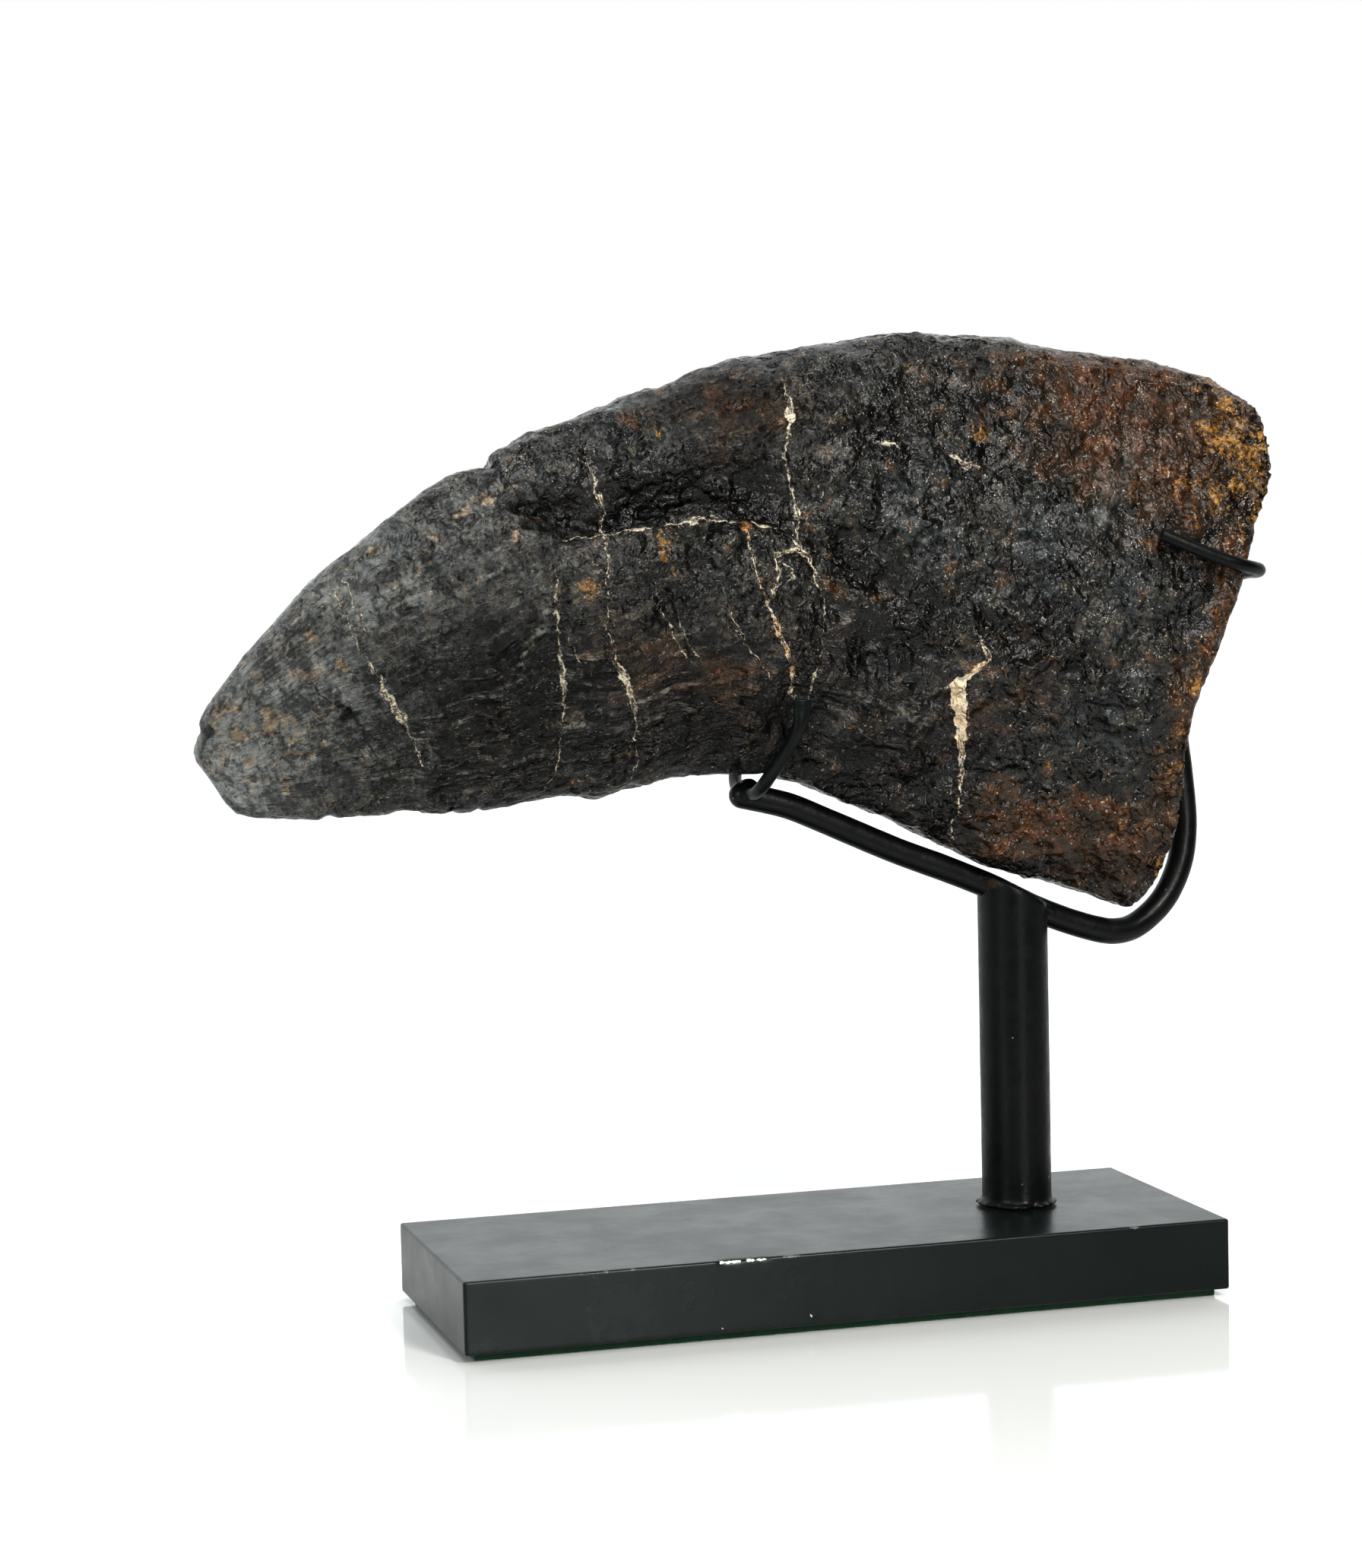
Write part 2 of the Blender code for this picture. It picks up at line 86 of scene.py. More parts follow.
# Centre lines, from end to end.
ROD_ROUTE = (
    (-11.0, 0.0, 91.8), (-6.6, 0.0, 90.7), (-1.9, 0.0, 89.3), (4.9, 0.0, 86.3), (11.9, 0.0, 83.1),
    (18.9, 0.0, 80.0), (27.0, 0.0, 76.8), (35.8, 0.0, 73.0), (44.4, 0.0, 68.6), (50.4, 0.0, 66.1),
    (55.8, 0.0, 64.3), (60.0, 0.3, 63.5), (64.0, 1.0, 64.0), (68.0, 1.8, 66.2), (71.6, 2.6, 69.6),
    (74.6, 3.6, 74.8), (76.2, 4.8, 80.4), (76.6, 6.0, 86.5), (76.4, 7.0, 93.0), (76.0, 7.6, 98.5),
    (76.2, 8.2, 104.5), (77.6, 8.5, 111.0), (79.4, 8.5, 116.5), (80.9, 8.5, 120.4),
)
CLIP_ROUTE = (
    (-4.4, -15.9, 109.2), (-4.7, -15.5, 105.8), (-5.7, -14.4, 102.6), (-7.2, -12.8, 99.4),
    (-8.8, -10.6, 96.2), (-9.8, -8.2, 93.8), (-10.2, -5.0, 92.5), (-10.2, 0.0, 92.3), (-10.2, 5.0, 92.5),
    (-9.8, 8.2, 93.8), (-8.8, 10.9, 96.2), (-7.4, 13.4, 99.4), (-5.8, 15.0, 102.6), (-4.8, 15.9, 105.6),
)
HOOK_ROUTE = (
    (61.0, -21.9, 136.5), (65.8, -22.5, 134.4), (70.9, -22.9, 132.3), (75.9, -22.9, 130.7),
    (80.1, -20.4, 129.8), (82.0, -15.5, 129.3), (82.6, -10.0, 129.1), (82.6, -4.0, 128.0),
    (82.2, 3.0, 125.0), (81.9, 8.5, 122.6), (82.3, 13.0, 123.6), (82.2, 17.0, 126.2), (80.2, 20.4, 128.6),
    (76.0, 22.6, 130.6), (70.0, 23.2, 132.6), (64.0, 22.8, 134.8),
)

# ---------------------------------------------------------------- the claw's marks
VOXEL = 0.7                     # spacing of the claw's skin
FLOW_HEIGHT = 62.0              # height that every section is drawn out to, where the grain is made
CLAW_SPAN = (-112.0, 95.0)      # reach of x in which the claw's edges are looked for
EDGE_STEP = 2.0
# Mineral-filled cracks on the near side: shader channel, tint (0 cream, 1 orange, -1 an empty crack painted
# near black as painted shade in its depth), then points of x, z and half width. Cracks of one channel lie
# well apart.
CRACKS = (
    (0, 0.05, ((-84.6, 131, 0.12), (-82.6, 124.8, 0.2), (-81.6, 121.7, 0.16), (-78, 114.9, 0.35),
     (-76.6, 112, 0.7), (-74.8, 109.3, 0.62), (-72.6, 104.5, 0.32), (-70.8, 100, 0.14))),
    (1, 0.1, ((-82.9, 132, 0.12), (-81.1, 126.8, 0.18), (-79.8, 123.5, 0.1))),
    (0, 0, ((-47.8, 135, 0.1), (-47.5, 131, 0.28), (-47.5, 125.7, 0.26), (-46.8, 118.9, 0.38),
     (-46.7, 116, 0.6), (-46.6, 113.2, 0.62), (-46.4, 108, 0.2), (-46.8, 103.8, 0.12), (-47.4, 97.3, 0.2),
     (-49.1, 94.8, 0.2))),
    (1, 0, ((-45.8, 121.3, 0.15), (-43.7, 117.5, 0.2))),
    (0, 0.1, ((-38.3, 143, 0.08), (-38.5, 134.8, 0.17), (-38.5, 128.5, 0.26), (-38.8, 123.6, 0.22),
     (-37.9, 119, 0.25), (-37.1, 116.6, 0.5), (-36, 113.8, 0.75), (-34.6, 110.9, 0.6), (-33.8, 107, 0.3),
     (-33.4, 103.2, 0.15), (-32.6, 99.3, 0.16), (-34.2, 96.1, 0.1))),
    (2, 0.25, ((-40.4, 152, 0.15), (-39.8, 150.6, 0.4), (-39, 147.5, 0.25), (-38.8, 145.6, 0.55),
     (-37.8, 143.6, 0.35), (-37.6, 142.4, 0.45), (-38, 140.6, 0.2))),
    (1, 0.2, ((-30.4, 129.2, 0.08), (-28.3, 124, 0.17), (-25.8, 118.6, 0.2), (-23.7, 116.4, 0.12))),
    (2, 0.2, ((-26, 124, 0.14), (-24.3, 120.5, 0.2), (-22.6, 117, 0.1))),
    (1, 0.3, ((-18.8, 130.1, 0.06), (-16.7, 125, 0.15), (-14.5, 119.9, 0.15), (-11.6, 116, 0.13),
     (-9.7, 113, 0.1))),
    (0, 0.7, ((-14, 138.7, 0.26), (-12.2, 132, 0.38), (-10.2, 126.5, 0.42), (-8.7, 122.3, 0.58),
     (-7, 118, 0.5), (-5.4, 113.3, 0.36), (-5.4, 109.4, 0.3))),
    (2, 0, ((-4.7, 165.1, 0.1), (-4.2, 161.2, 0.5), (-4, 158.6, 1), (-4.8, 156, 0.45), (-5.4, 153.8, 0.2),
     (-6.3, 152, 0.22), (-5.3, 148.6, 0.34), (-4.4, 143.5, 0.34), (-3.7, 140.2, 0.36), (-4.4, 137.7, 0.4),
     (-4.7, 135.6, 0.42))),
    (3, 0, ((-8.8, 134.4, 0.35), (-6.8, 135.2, 0.45), (-4.8, 135.5, 0.6), (-3, 134.2, 0.5),
     (-1.8, 132.8, 0.42), (-1.4, 129.6, 0.18), (0.2, 126.6, 0.18), (-0.4, 122.5, 0.1),
     (-0.8, 119.1, 0.08), (-1, 114.9, 0.22), (-2, 112.4, 0.26), (-2.4, 108.2, 0.2))),
    (1, 0.1, ((-8.8, 134.4, 0.38), (-8.5, 130.7, 0.4), (-9.8, 126.1, 0.3))),
    (2, 0, ((-7.4, 133.2, 0.26), (-5.9, 132.2, 0.32), (-5.8, 130.6, 0.32), (-6.8, 129.7, 0.24))),
    (0, 0.35, ((27.9, 118.5, 0.45), (29.4, 115.5, 0.52), (26.2, 112.7, 0.7), (24.3, 110.5, 1.5),
     (24.6, 108.5, 1.75), (25.1, 106.2, 1.5), (26.1, 101.5, 0.85), (26.5, 94.1, 0.5), (26.5, 88.9, 0.24),
     (25.5, 83.5, 0.16), (27.1, 80.7, 0.1))),
    (1, 0, ((25, 120.7, 0.3), (23.4, 118.5, 0.22))),
    (1, 0, ((24, 110.4, 0.5), (21.4, 110.3, 0.16))),
    (2, 0, ((27, 120.4, 0.2), (27.9, 118.5, 0.22))),
    (0, 0.15, ((10.7, 154.1, 0.3), (12.5, 153.8, 0.5), (14.4, 152.9, 0.3))),
    (0, 0.1, ((24.1, 151.4, 0.4), (26.7, 149.5, 0.55), (30, 149.4, 0.3))),
    # These three run along the recess's lower lip: a pale mineral line, widened and brightened to paint the
    # lip's glints as painted highlight.
    (1, 0, ((-45.2, 138.8, 0.16), (-40, 138.4, 0.38), (-37.6, 138.6, 0.42), (-34, 139.2, 0.34),
     (-30.4, 139.8, 0.24))),
    (1, 0, ((-27.5, 140.3, 0.24), (-22.9, 140.9, 0.42), (-18.9, 141.4, 0.44), (-15.9, 140.6, 0.24))),
    (1, 0, ((-12.2, 140.1, 0.14), (-10.4, 139.8, 0.32), (-7.7, 139.4, 0.22))),
    (3, -1, ((-56.5, 152, 0.35), (-53.6, 147.4, 0.26), (-51.1, 143.8, 0.24), (-49.9, 141.3, 0.3))),
    (3, -1, ((-92, 117, 0.1), (-87, 112.6, 0.2), (-83.6, 110, 0.55), (-82.2, 108.9, 0.3),
     (-78.9, 102.5, 0.16), (-74.8, 96.7, 0.12))),
    (3, -1, ((2.6, 135.4, 0.3), (5, 133.6, 0.55), (8.4, 131.6, 0.5), (11.7, 129.5, 0.6),
     (15.6, 126.4, 0.3), (21, 119.9, 0.14))),
    (3, -1, ((-52, 140.6, 0.2), (-47, 140, 0.45), (-42.8, 139.5, 0.4), (-37.6, 139.5, 0.4),
     (-33.3, 140.5, 0.45), (-28.1, 140.9, 0.4), (-24, 141.6, 0.3), (-16, 141.4, 0.24), (-12.4, 141, 0.2))),
)
CRACK_REACH = 2.0               # how far from its middle a crack may change the skin
CHANNELS = 4
FAR_AWAY = 9.0                  # distance kept where no crack or spot is near
# Where the cracks of the far side start: x, z.
FAR_STARTS = (
    (-79.0, 130.0), (-61.0, 132.0), (-43.0, 128.0), (-29.0, 150.0), (-17.0, 133.0), (-2.0, 158.0),
    (12.0, 118.0), (33.0, 112.0), (49.0, 150.0),
)
FAR_POINTS = 9
# Colour areas: x, z, half length, half height, strength.
RUST_AREAS = (
    (55, 160, 18, 9, 1), (66, 151, 13, 15, 1), (52, 149, 9, 7, 0.85), (42, 166, 14, 6, 0.6),
    (60, 137, 8, 6, 0.5), (45, 84, 15, 7, 0.95), (58, 80, 10, 8, 0.85), (36, 91, 8, 5, 0.5),
    (77, 124, 6, 15, 0.95), (68, 104, 5.5, 15, 0.9), (63, 90, 5, 11, 0.7), (34, 106, 8, 6, 0.45),
    (-30, 117, 15, 5, 0.42), (-18, 113, 11, 5, 0.5), (-14, 161, 13, 6, 0.5), (-31.2, 157.5, 2.2, 1.3, 1),
    (2.9, 128.4, 1.8, 1.5, 1), (31.3, 128.9, 1.8, 1.6, 0.9),
)
GOLD_AREAS = (
    (78, 158, 8, 11, 1), (82, 147, 7.5, 14, 1), (74, 142, 8, 7, 0.8), (68, 146, 7, 8, 0.55),
    (77, 166, 6, 4, 0.6), (66.5, 108, 3.5, 11, 0.7), (64, 96, 3.2, 9, 0.7), (83, 133, 4, 6, 0.75),
    (57.5, 82.8, 4.5, 1.3, 1), (-13.4, 140, 1.5, 1.3, 1.3), (-42, 130.2, 1.6, 1.4, 1.2),
    (30.1, 153.8, 1.4, 1.9, 1.2), (-29.6, 135.6, 1.6, 3.2, 1), (-91.5, 116.2, 4.6, 1.7, 1.3),
    (-49.3, 140.6, 1.8, 1.4, 1.2),
)
# Painted sheen: where a pale haze of painted highlight lies, near the tip and at a few places of the heel;
# the relief is calmer there too.
PAINTED_SHEEN_AREAS = (
    (-104, 101, 14, 14, 1), (-96, 112, 17, 15, 0.85), (-82, 130, 17, 11, 0.6), (-60, 140, 18, 12, 0.3),
    (49, 139.5, 3.2, 2.2, 0.35), (53.5, 144.5, 3, 3.4, 0.35), (58, 149.5, 2.4, 3, 0.2),
)
# Small tan marks of the near side: x, z, half length, half height.
TAN_MARKS = (
    (-102.4, 110.9, 3.4, 1.1), (-96.6, 108.4, 1.3, 3.6), (-101.6, 106.2, 2.4, 1.2), (-89, 123.2, 1.2, 1),
    (-77.7, 136.8, 1.6, 1.2), (-84, 117.6, 1, 2.2), (-92.6, 105.2, 1.2, 0.9), (-90.4, 102.6, 1.4, 0.9),
    (-99.8, 102, 1.5, 0.9), (-93.6, 97.4, 0.9, 1.8), (-87.6, 104.8, 1.7, 0.8), (-58.6, 145.4, 2, 1.2),
    (-62.6, 143, 1.4, 1), (-53.8, 139.2, 1.6, 1.1), (-67.4, 139, 1.2, 0.8), (-70.8, 133.6, 0.9, 0.8),
)
# Recesses with a sharp lower lip: points of x and z along the lip, how soon they fall, how far up they
# reach, and their depth. The first two share the start of their lip.
LIP = ((-53.0, 141.5), (-50.0, 140.8), (-47.0, 140.0), (-42.8, 139.6), (-37.6, 139.6))
RECESSES = (
    (LIP + ((-33.3, 140.5), (-28.1, 141.0), (-24.0, 141.7), (-16.0, 141.6), (-10.0, 140.8), (-6.0, 140.5)),
     0.7, 2.0, 2.1),
    (LIP + ((-31.0, 140.7),), 1.0, 2.8, 1.6),
    (((1.0, 134.8), (5.0, 132.6), (8.4, 130.6), (11.7, 128.5), (15.6, 125.2), (21.0, 119.0)), 2.6, 2.4, 0.5),
)
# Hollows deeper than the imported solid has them: x, z, half length, half height, depth.
HOLLOWS = (
    (-24, 145.5, 7, 2.8, 0.4), (-13, 148.4, 4.5, 3.2, 0.6), (11, 115.5, 9, 2.6, 0.5),
    (-83, 109.6, 1.2, 1, 0.5), (6, 131, 5, 1.6, 0.4), (-44, 137, 3, 1.6, 0.3),
)
# Nicks (negative) and knobs on the claw's edges: x, z, size, height.
NICKS = (
    (-56.6, 151.9, 0.85, -1.4), (-54.4, 153.4, 1.9, 0.5), (-59.4, 149.6, 2.4, 0.2),
    (-106.4, 107, 1, -0.9), (-64.6, 90.8, 0.9, -0.9), (-62.1, 89.4, 1, 0.9), (-59.7, 90.7, 0.9, -0.9),
    (-70.6, 91.2, 0.9, -0.4), (-38.6, 92, 2, 0.5), (-33.2, 94.3, 1.6, -0.9), (-86, 91.6, 1, -0.5),
    (-22, 97.2, 1.2, -0.5), (-6, 168, 1.8, -0.5), (-25, 165.2, 1.4, -0.4), (-34, 162, 1.2, -0.35),
    (-12, 169, 1.2, 0.3),
)
# Broad forms of both sides, as the colour areas are given: dips, which the material also paints darker as
# painted shade, and swells, which it paints paler and bluer as painted sheen.
DIPS_WITH_PAINTED_SHADE = (
    (-45.1, 142.6, 6.5, 2.8, 0.9), (-30.4, 143.6, 8.6, 2.6, 0.9), (-20.6, 148.7, 7.5, 6.2, 0.6),
    (-10.6, 144.6, 5.5, 4.1, 0.5), (11.4, 118.2, 8.5, 5.5, 1), (0.4, 118.6, 4.1, 5.5, 0.5),
    (35.7, 119.9, 4.4, 4.1, 0.8), (45.4, 114.5, 6.8, 3.6, 0.5), (-18.1, 102.5, 13, 6.2, 1),
    (-4.4, 105.3, 4.7, 8.2, 1), (13.2, 93, 12.3, 5.8, 0.8), (26.3, 85.5, 5.5, 4.1, 0.7),
    (54.3, 75.2, 11, 3.6, 0.9), (-27.1, 126.6, 4.7, 4.7, 0.5), (9.1, 156.7, 6.3, 4.4, 0.5),
    (-62.4, 116.6, 11, 8.2, 0.35), (-51.9, 105.8, 16.4, 8.2, 0.35), (-15, 159.8, 8.2, 5.5, 0.3),
    (65.9, 98.8, 4.1, 6.8, 0.5), (41.7, 129.3, 2.7, 6.8, 0.3), (4.5, 133.6, 4.5, 2.6, 0.5),
    (10.5, 130.2, 5, 2.6, 0.5), (7, 116.5, 6, 3, 0.6), (-30, 100.5, 12, 3.5, 0.6), (20, 97, 9, 4, 0.5),
    (66, 76, 7, 4, 0.6),
)
SWELLS_WITH_PAINTED_SHEEN = (
    (-73.9, 137.6, 15.1, 8.2, 0.7), (-58.1, 145, 8.2, 5.5, 0.5), (-28.8, 153.5, 8.2, 5.5, 0.7),
    (8.3, 161.4, 4.7, 3.8, 0.7), (21.4, 152.5, 6.8, 5.5, 0.5), (14.5, 144.7, 6.8, 5.5, 0.5),
    (19.6, 135.9, 9.6, 6.8, 0.6), (39.4, 132.7, 5.5, 9.6, 0.9), (29.5, 128.3, 6.8, 5.5, 0.5),
    (44.5, 141.3, 6.8, 4.1, 0.6), (55.7, 124.9, 8.2, 8.2, 0.8), (53.6, 102.6, 11, 8.2, 0.6),
    (36.4, 97, 5.5, 5.5, 0.5), (32.7, 138.9, 5.5, 6.8, 0.4), (28.9, 165.8, 8.2, 4.1, 0.3),
    (-44.6, 151.2, 6.8, 5.5, 0.5), (-84.4, 114.7, 12.3, 11, 0.6), (65.7, 119.2, 4.1, 8.2, 0.5),
    (2.8, 144.9, 4.1, 5.5, 0.4), (-56, 118, 20, 9, 0.45), (-36, 108, 9, 6, 0.3), (-22, 133, 9, 5, 0.4),
)
# Where the grain runs lengthwise in fibres.
FIBRE_AREAS = (
    (-60, 112, 45, 17, 1), (-22, 108, 22, 12, 1), (-14, 160, 13, 7, 0.8), (-88, 104, 16, 12, 0.5),
    (10, 104, 16, 8, 0.5), (-58, 132, 16, 8, 0.5),
)

# ---------------------------------------------------------------- noise
random = np.random.default_rng(11)
GRADIENTS = random.normal(size=(256, 3))
GRADIENTS /= np.linalg.norm(GRADIENTS, axis=1)[:, None]
SPOT_PLACES = random.random((256, 3))
SHUFFLE = random.permutation(256)


def lattice(cell, seed):
    """A fixed number from 0 to 255 for each whole-number cell."""
    index = SHUFFLE[(cell[:, 0] + 37 * seed) & 255]
    index = SHUFFLE[(index + cell[:, 1]) & 255]
    return SHUFFLE[(index + cell[:, 2]) & 255]


def noise(points, size, seed):
    """Smooth noise from about -1 to 1, with lumps of the given size."""
    place = points / np.asarray(size, float)
    cell = np.floor(place).astype(int)
    part = place - cell
    fade = part ** 3 * (part * (part * 6.0 - 15.0) + 10.0)
    total = np.zeros(len(points))
    for corner in itertools.product((0, 1), repeat=3):
        weight = np.prod(np.where(corner, fade, 1.0 - fade), axis=1)
        slope = GRADIENTS[lattice(cell + corner, seed)]
        total += weight * ((part - corner) * slope).sum(axis=1)
    return total * 1.7


def fractal(points, size, seed):
    """Noise with two finer layers over it."""
    return sum(noise(points, size / 2.0 ** i, seed + i) * 0.5 ** i for i in range(3))


def warped(points, size, amount, seed):
    """Points moved about by noise, so that what is made from them wanders."""
    shifts = [noise(points, size, seed + i) for i in range(3)]
    return points + np.stack(shifts, axis=1) * amount


def spots(points, size, seed):
    """Distance to the nearest of scattered spots, as a share of their spacing, and that spot's number."""
    place = points / np.asarray(size, float)
    cell = np.floor(place).astype(int)
    nearest = np.full(len(points), FAR_AWAY)
    label = np.zeros(len(points))
    for offset in itertools.product((-1, 0, 1), repeat=3):
        key = lattice(cell + offset, seed)
        gap = np.linalg.norm(cell + offset + SPOT_PLACES[key] - place, axis=1)
        label = np.where(gap < nearest, key / 255.0, label)
        nearest = np.minimum(nearest, gap)
    return nearest, label


def smooth_step(low, high, value):
    share = np.clip((value - low) / (high - low), 0.0, 1.0)
    return share * share * (3.0 - 2.0 * share)


# ---------------------------------------------------------------- meshes
def add_object(name, data):
    item = bpy.data.objects.new(name, data)
    bpy.context.scene.collection.objects.link(item)
    return item


def new_piece(name, mesh, material, node=None):
    """Put a mesh in the scene as a piece of the one rigid body; a named node is the one it stands for."""
    mesh.materials.clear()
    mesh.materials.append(material)
    mesh.shade_smooth()
    piece = add_object(name, mesh)
    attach(piece, "root")
    if node:
        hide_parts(node)


def mesh_from(name, points, faces):
    """A mesh from points in millimetres."""
    mesh = bpy.data.meshes.new(name)
    mesh.from_pydata((np.asarray(points) * MM).tolist(), [], [tuple(int(i) for i in f) for f in faces])
    mesh.update()
    return mesh


def mesh_of(name, shape):
    """The mesh of a finished bmesh, which is freed."""
    mesh = bpy.data.meshes.new(name)
    shape.to_mesh(mesh)
    shape.free()
    return mesh


def read(mesh, kind):
    values = np.zeros(len(mesh.vertices) * 3)
    mesh.vertices.foreach_get(kind, values)
    return values.reshape(-1, 3)


def read_points(mesh):
    """A mesh's points in millimetres."""
    return read(mesh, "co") / MM


def write_points(mesh, points):
    mesh.vertices.foreach_set("co", (points * MM).ravel())
    mesh.update()


def store(mesh, name, columns):
    """Keep three numbers for each vertex under a name, for the mesh's material to read."""
    values = np.stack(columns, axis=1).astype(np.float32)
    layer = mesh.attributes.new(name, "FLOAT_VECTOR", "POINT")
    layer.data.foreach_set("vector", values.ravel())


def circle(sides):
    """Cosines and sines of evenly spaced turns."""
    turns = np.linspace(0.0, 2.0 * math.pi, sides, endpoint=False)
    return np.cos(turns), np.sin(turns)


def ring_faces(rings, sides, closed=False):
    """Quads between rings of points that follow each other in one list."""
    faces = []
    for ring in range(rings if closed else rings - 1):
        here = ring * sides
        there = (ring + 1) % rings * sides
        for i in range(sides):
            j = (i + 1) % sides
            faces.append((here + i, here + j, there + j, there + i))
    return faces


def smooth_route(route, spacing):
    """Evenly spaced points on the Catmull-Rom curve through a route, as an array."""
    corners = np.array(route, float)
    padded = np.vstack([corners[:1], corners, corners[-1:]])
    fine = []
    for i in range(len(corners) - 1):
        before, start, end, after = padded[i:i + 4]
        for step in np.arange(0.0, 1.0, 0.02):
            fine.append(0.5 * (2.0 * start + (end - before) * step
                               + (2.0 * before - 5.0 * start + 4.0 * end - after) * step ** 2
                               + (3.0 * start - before - 3.0 * end + after) * step ** 3))
    fine = np.array(fine + [corners[-1]])
    walked = np.concatenate([[0.0], np.cumsum(np.linalg.norm(np.diff(fine, axis=0), axis=1))])
    stops = np.linspace(0.0, walked[-1], max(3, round(walked[-1] / spacing) + 1))
    return np.stack([np.interp(stops, walked, fine[:, i]) for i in range(3)], axis=1)


def frames_along(points):
    """Directions along a route and two across it that turn as little as they can."""
    ahead = np.gradient(points, axis=0)
    ahead /= np.linalg.norm(ahead, axis=1)[:, None]
    across = np.array((0.0, 1.0, 0.0))
    firsts = []
    for direction in ahead:
        across = across - direction * across.dot(direction)
        across /= np.linalg.norm(across)
        firsts.append(across)
    firsts = np.array(firsts)
    return ahead, firsts, np.cross(ahead, firsts)


def tube(name, route, radius, spacing=0.6, sides=32, ease=0.25, rounded=(False, False), widths=None):
    """A wire along a route. Its ends are cut flat with an eased edge, or rounded; widths may flatten it."""
    points = smooth_route(route, spacing)
    ahead, first, second = frames_along(points)
    cosines, sines = circle(sides)
    scales = widths(len(points)) if widths else np.ones((len(points), 2))

    def ring(index, shrink, push):
        scale = scales[index] * radius * shrink
        centre = points[index] + ahead[index] * push
        wide = np.outer(cosines, first[index]) * scale[0]
        return centre + wide + np.outer(sines, second[index]) * scale[1]

    def end(index, sign, is_round):
        reach = radius if is_round else ease
        found = []
        for angle in np.linspace(0.0, math.pi / 2.0, 7)[1:-1]:
            shrink = 1.0 - reach / radius * (1.0 - math.cos(angle))
            found.append(ring(index, shrink, sign * reach * math.sin(angle)))
        last = 0.02 if is_round else 1.0 - ease / radius
        found.append(ring(index, last, sign * reach))
        for share in (0.5, 0.02):
            found.append(ring(index, last * share, sign * reach))
        return found

    middle = [ring(i, 1.0, 0.0) for i in range(len(points))]
    rings = end(0, -1.0, rounded[0])[::-1] + middle + end(-1, 1.0, rounded[1])
    vertices = np.concatenate(rings)
    faces = ring_faces(len(rings), sides)
    faces.append(tuple(range(sides))[::-1])
    faces.append(tuple(range(len(vertices) - sides, len(vertices))))
    return mesh_from(name, vertices, faces)


def roughen(mesh, layers):
    """Move a mesh's skin in and out by layers of noise: size, height, seed."""
    mesh.update()
    points = read_points(mesh)
    amount = sum(noise(points, size, seed) * height for size, height, seed in layers)
    write_points(mesh, points + read(mesh, "normal") * amount[:, None])


# ---------------------------------------------------------------- materials
class Nodes:
    """A node tree, with short names for the nodes that the looks here are made of."""

    def __init__(self, tree):
        self.tree = tree

    def node(self, kind, inputs, output=0, **settings):
        made = self.tree.nodes.new(kind)
        for key, value in settings.items():
            setattr(made, key, value)
        for key, value in inputs.items():
            self.feed(made.inputs[key], value)
        return made.outputs[output]

    def feed(self, socket, value):
        if isinstance(value, bpy.types.NodeSocket):
            self.tree.links.new(value, socket)
        elif isinstance(value, tuple) and len(value) == 3 and socket.type == "RGBA":
            socket.default_value = (*value, 1.0)
        else:
            socket.default_value = value

    def place(self):
        """The point's place on the object, in millimetres."""
        spot = self.node("ShaderNodeTexCoord", {}, "Object")
        return self.node("ShaderNodeVectorMath", {0: spot, "Scale": 1.0 / MM}, operation="SCALE")

    def stretch(self, place, scale):
        return self.node("ShaderNodeVectorMath", {0: place, 1: scale}, operation="MULTIPLY")

    def kept(self, name):
        """The three numbers stored for the mesh under a name."""
        layer = self.node("ShaderNodeAttribute", {}, "Vector", attribute_name=name)
        split = self.tree.nodes.new("ShaderNodeSeparateXYZ")
        self.tree.links.new(layer, split.inputs[0])
        return tuple(split.outputs)

    def noise(self, place, size, detail=3.0, roughness=0.55, distortion=0.0):
        return self.node("ShaderNodeTexNoise", {"Vector": place, "Scale": 1.0 / size, "Detail": detail,
                                                "Roughness": roughness, "Distortion": distortion})

    def spots(self, place, size):
        """Distance to the nearest of scattered spots, as a share of their spacing."""
        return self.node("ShaderNodeTexVoronoi", {"Vector": place, "Scale": 1.0 / size})

    def math(self, operation, first, second=0.0):
        return self.node("ShaderNodeMath", {0: first, 1: second}, operation=operation)

    def fold(self, operation, values):
        result = values[0]
        for value in values[1:]:
            result = self.math(operation, result, value)
        return result

    def total(self, *values):
        return self.fold("ADD", values)

    def times(self, *values):
        return self.fold("MULTIPLY", values)

    def larger(self, first, second):
        return self.math("MAXIMUM", first, second)

    def less(self, first, second):
        return self.math("SUBTRACT", first, second)

    def size(self, value):
        """A number without its sign."""
        return self.math("ABSOLUTE", value)

    def swing(self, value, amount):
        """Noise as a swing about nothing."""
        return self.times(self.less(value, 0.5), amount)

    def step(self, value, low, high, start=0.0, end=1.0):
        """A smooth step from start to end while value goes from low to high."""
        return self.node("ShaderNodeMapRange", {"Value": value, "From Min": low, "From Max": high,
                                                "To Min": start, "To Max": end},
                         interpolation_type="SMOOTHSTEP")

    def mix(self, share, first, second):
        return self.node("ShaderNodeMix", {0: share, 6: first, 7: second}, 2, data_type="RGBA")

    def bump(self, height, depth, normal=None):
        inputs = {"Height": height, "Distance": depth * MM, "Strength": 1.0}
        if normal:
            inputs["Normal"] = normal
        return self.node("ShaderNodeBump", inputs)


class Shader(Nodes):
    """One material."""

    def __init__(self, name):
        self.material = bpy.data.materials.new(name)
        self.material.use_nodes = True
        super().__init__(self.material.node_tree)
        self.surface = self.tree.nodes["Principled BSDF"]

    def finish(self, colour, roughness, normal):
        self.feed(self.surface.inputs["Base Color"], colour)
        self.feed(self.surface.inputs["Roughness"], roughness)
        self.feed(self.surface.inputs["Normal"], normal)
        return self.material
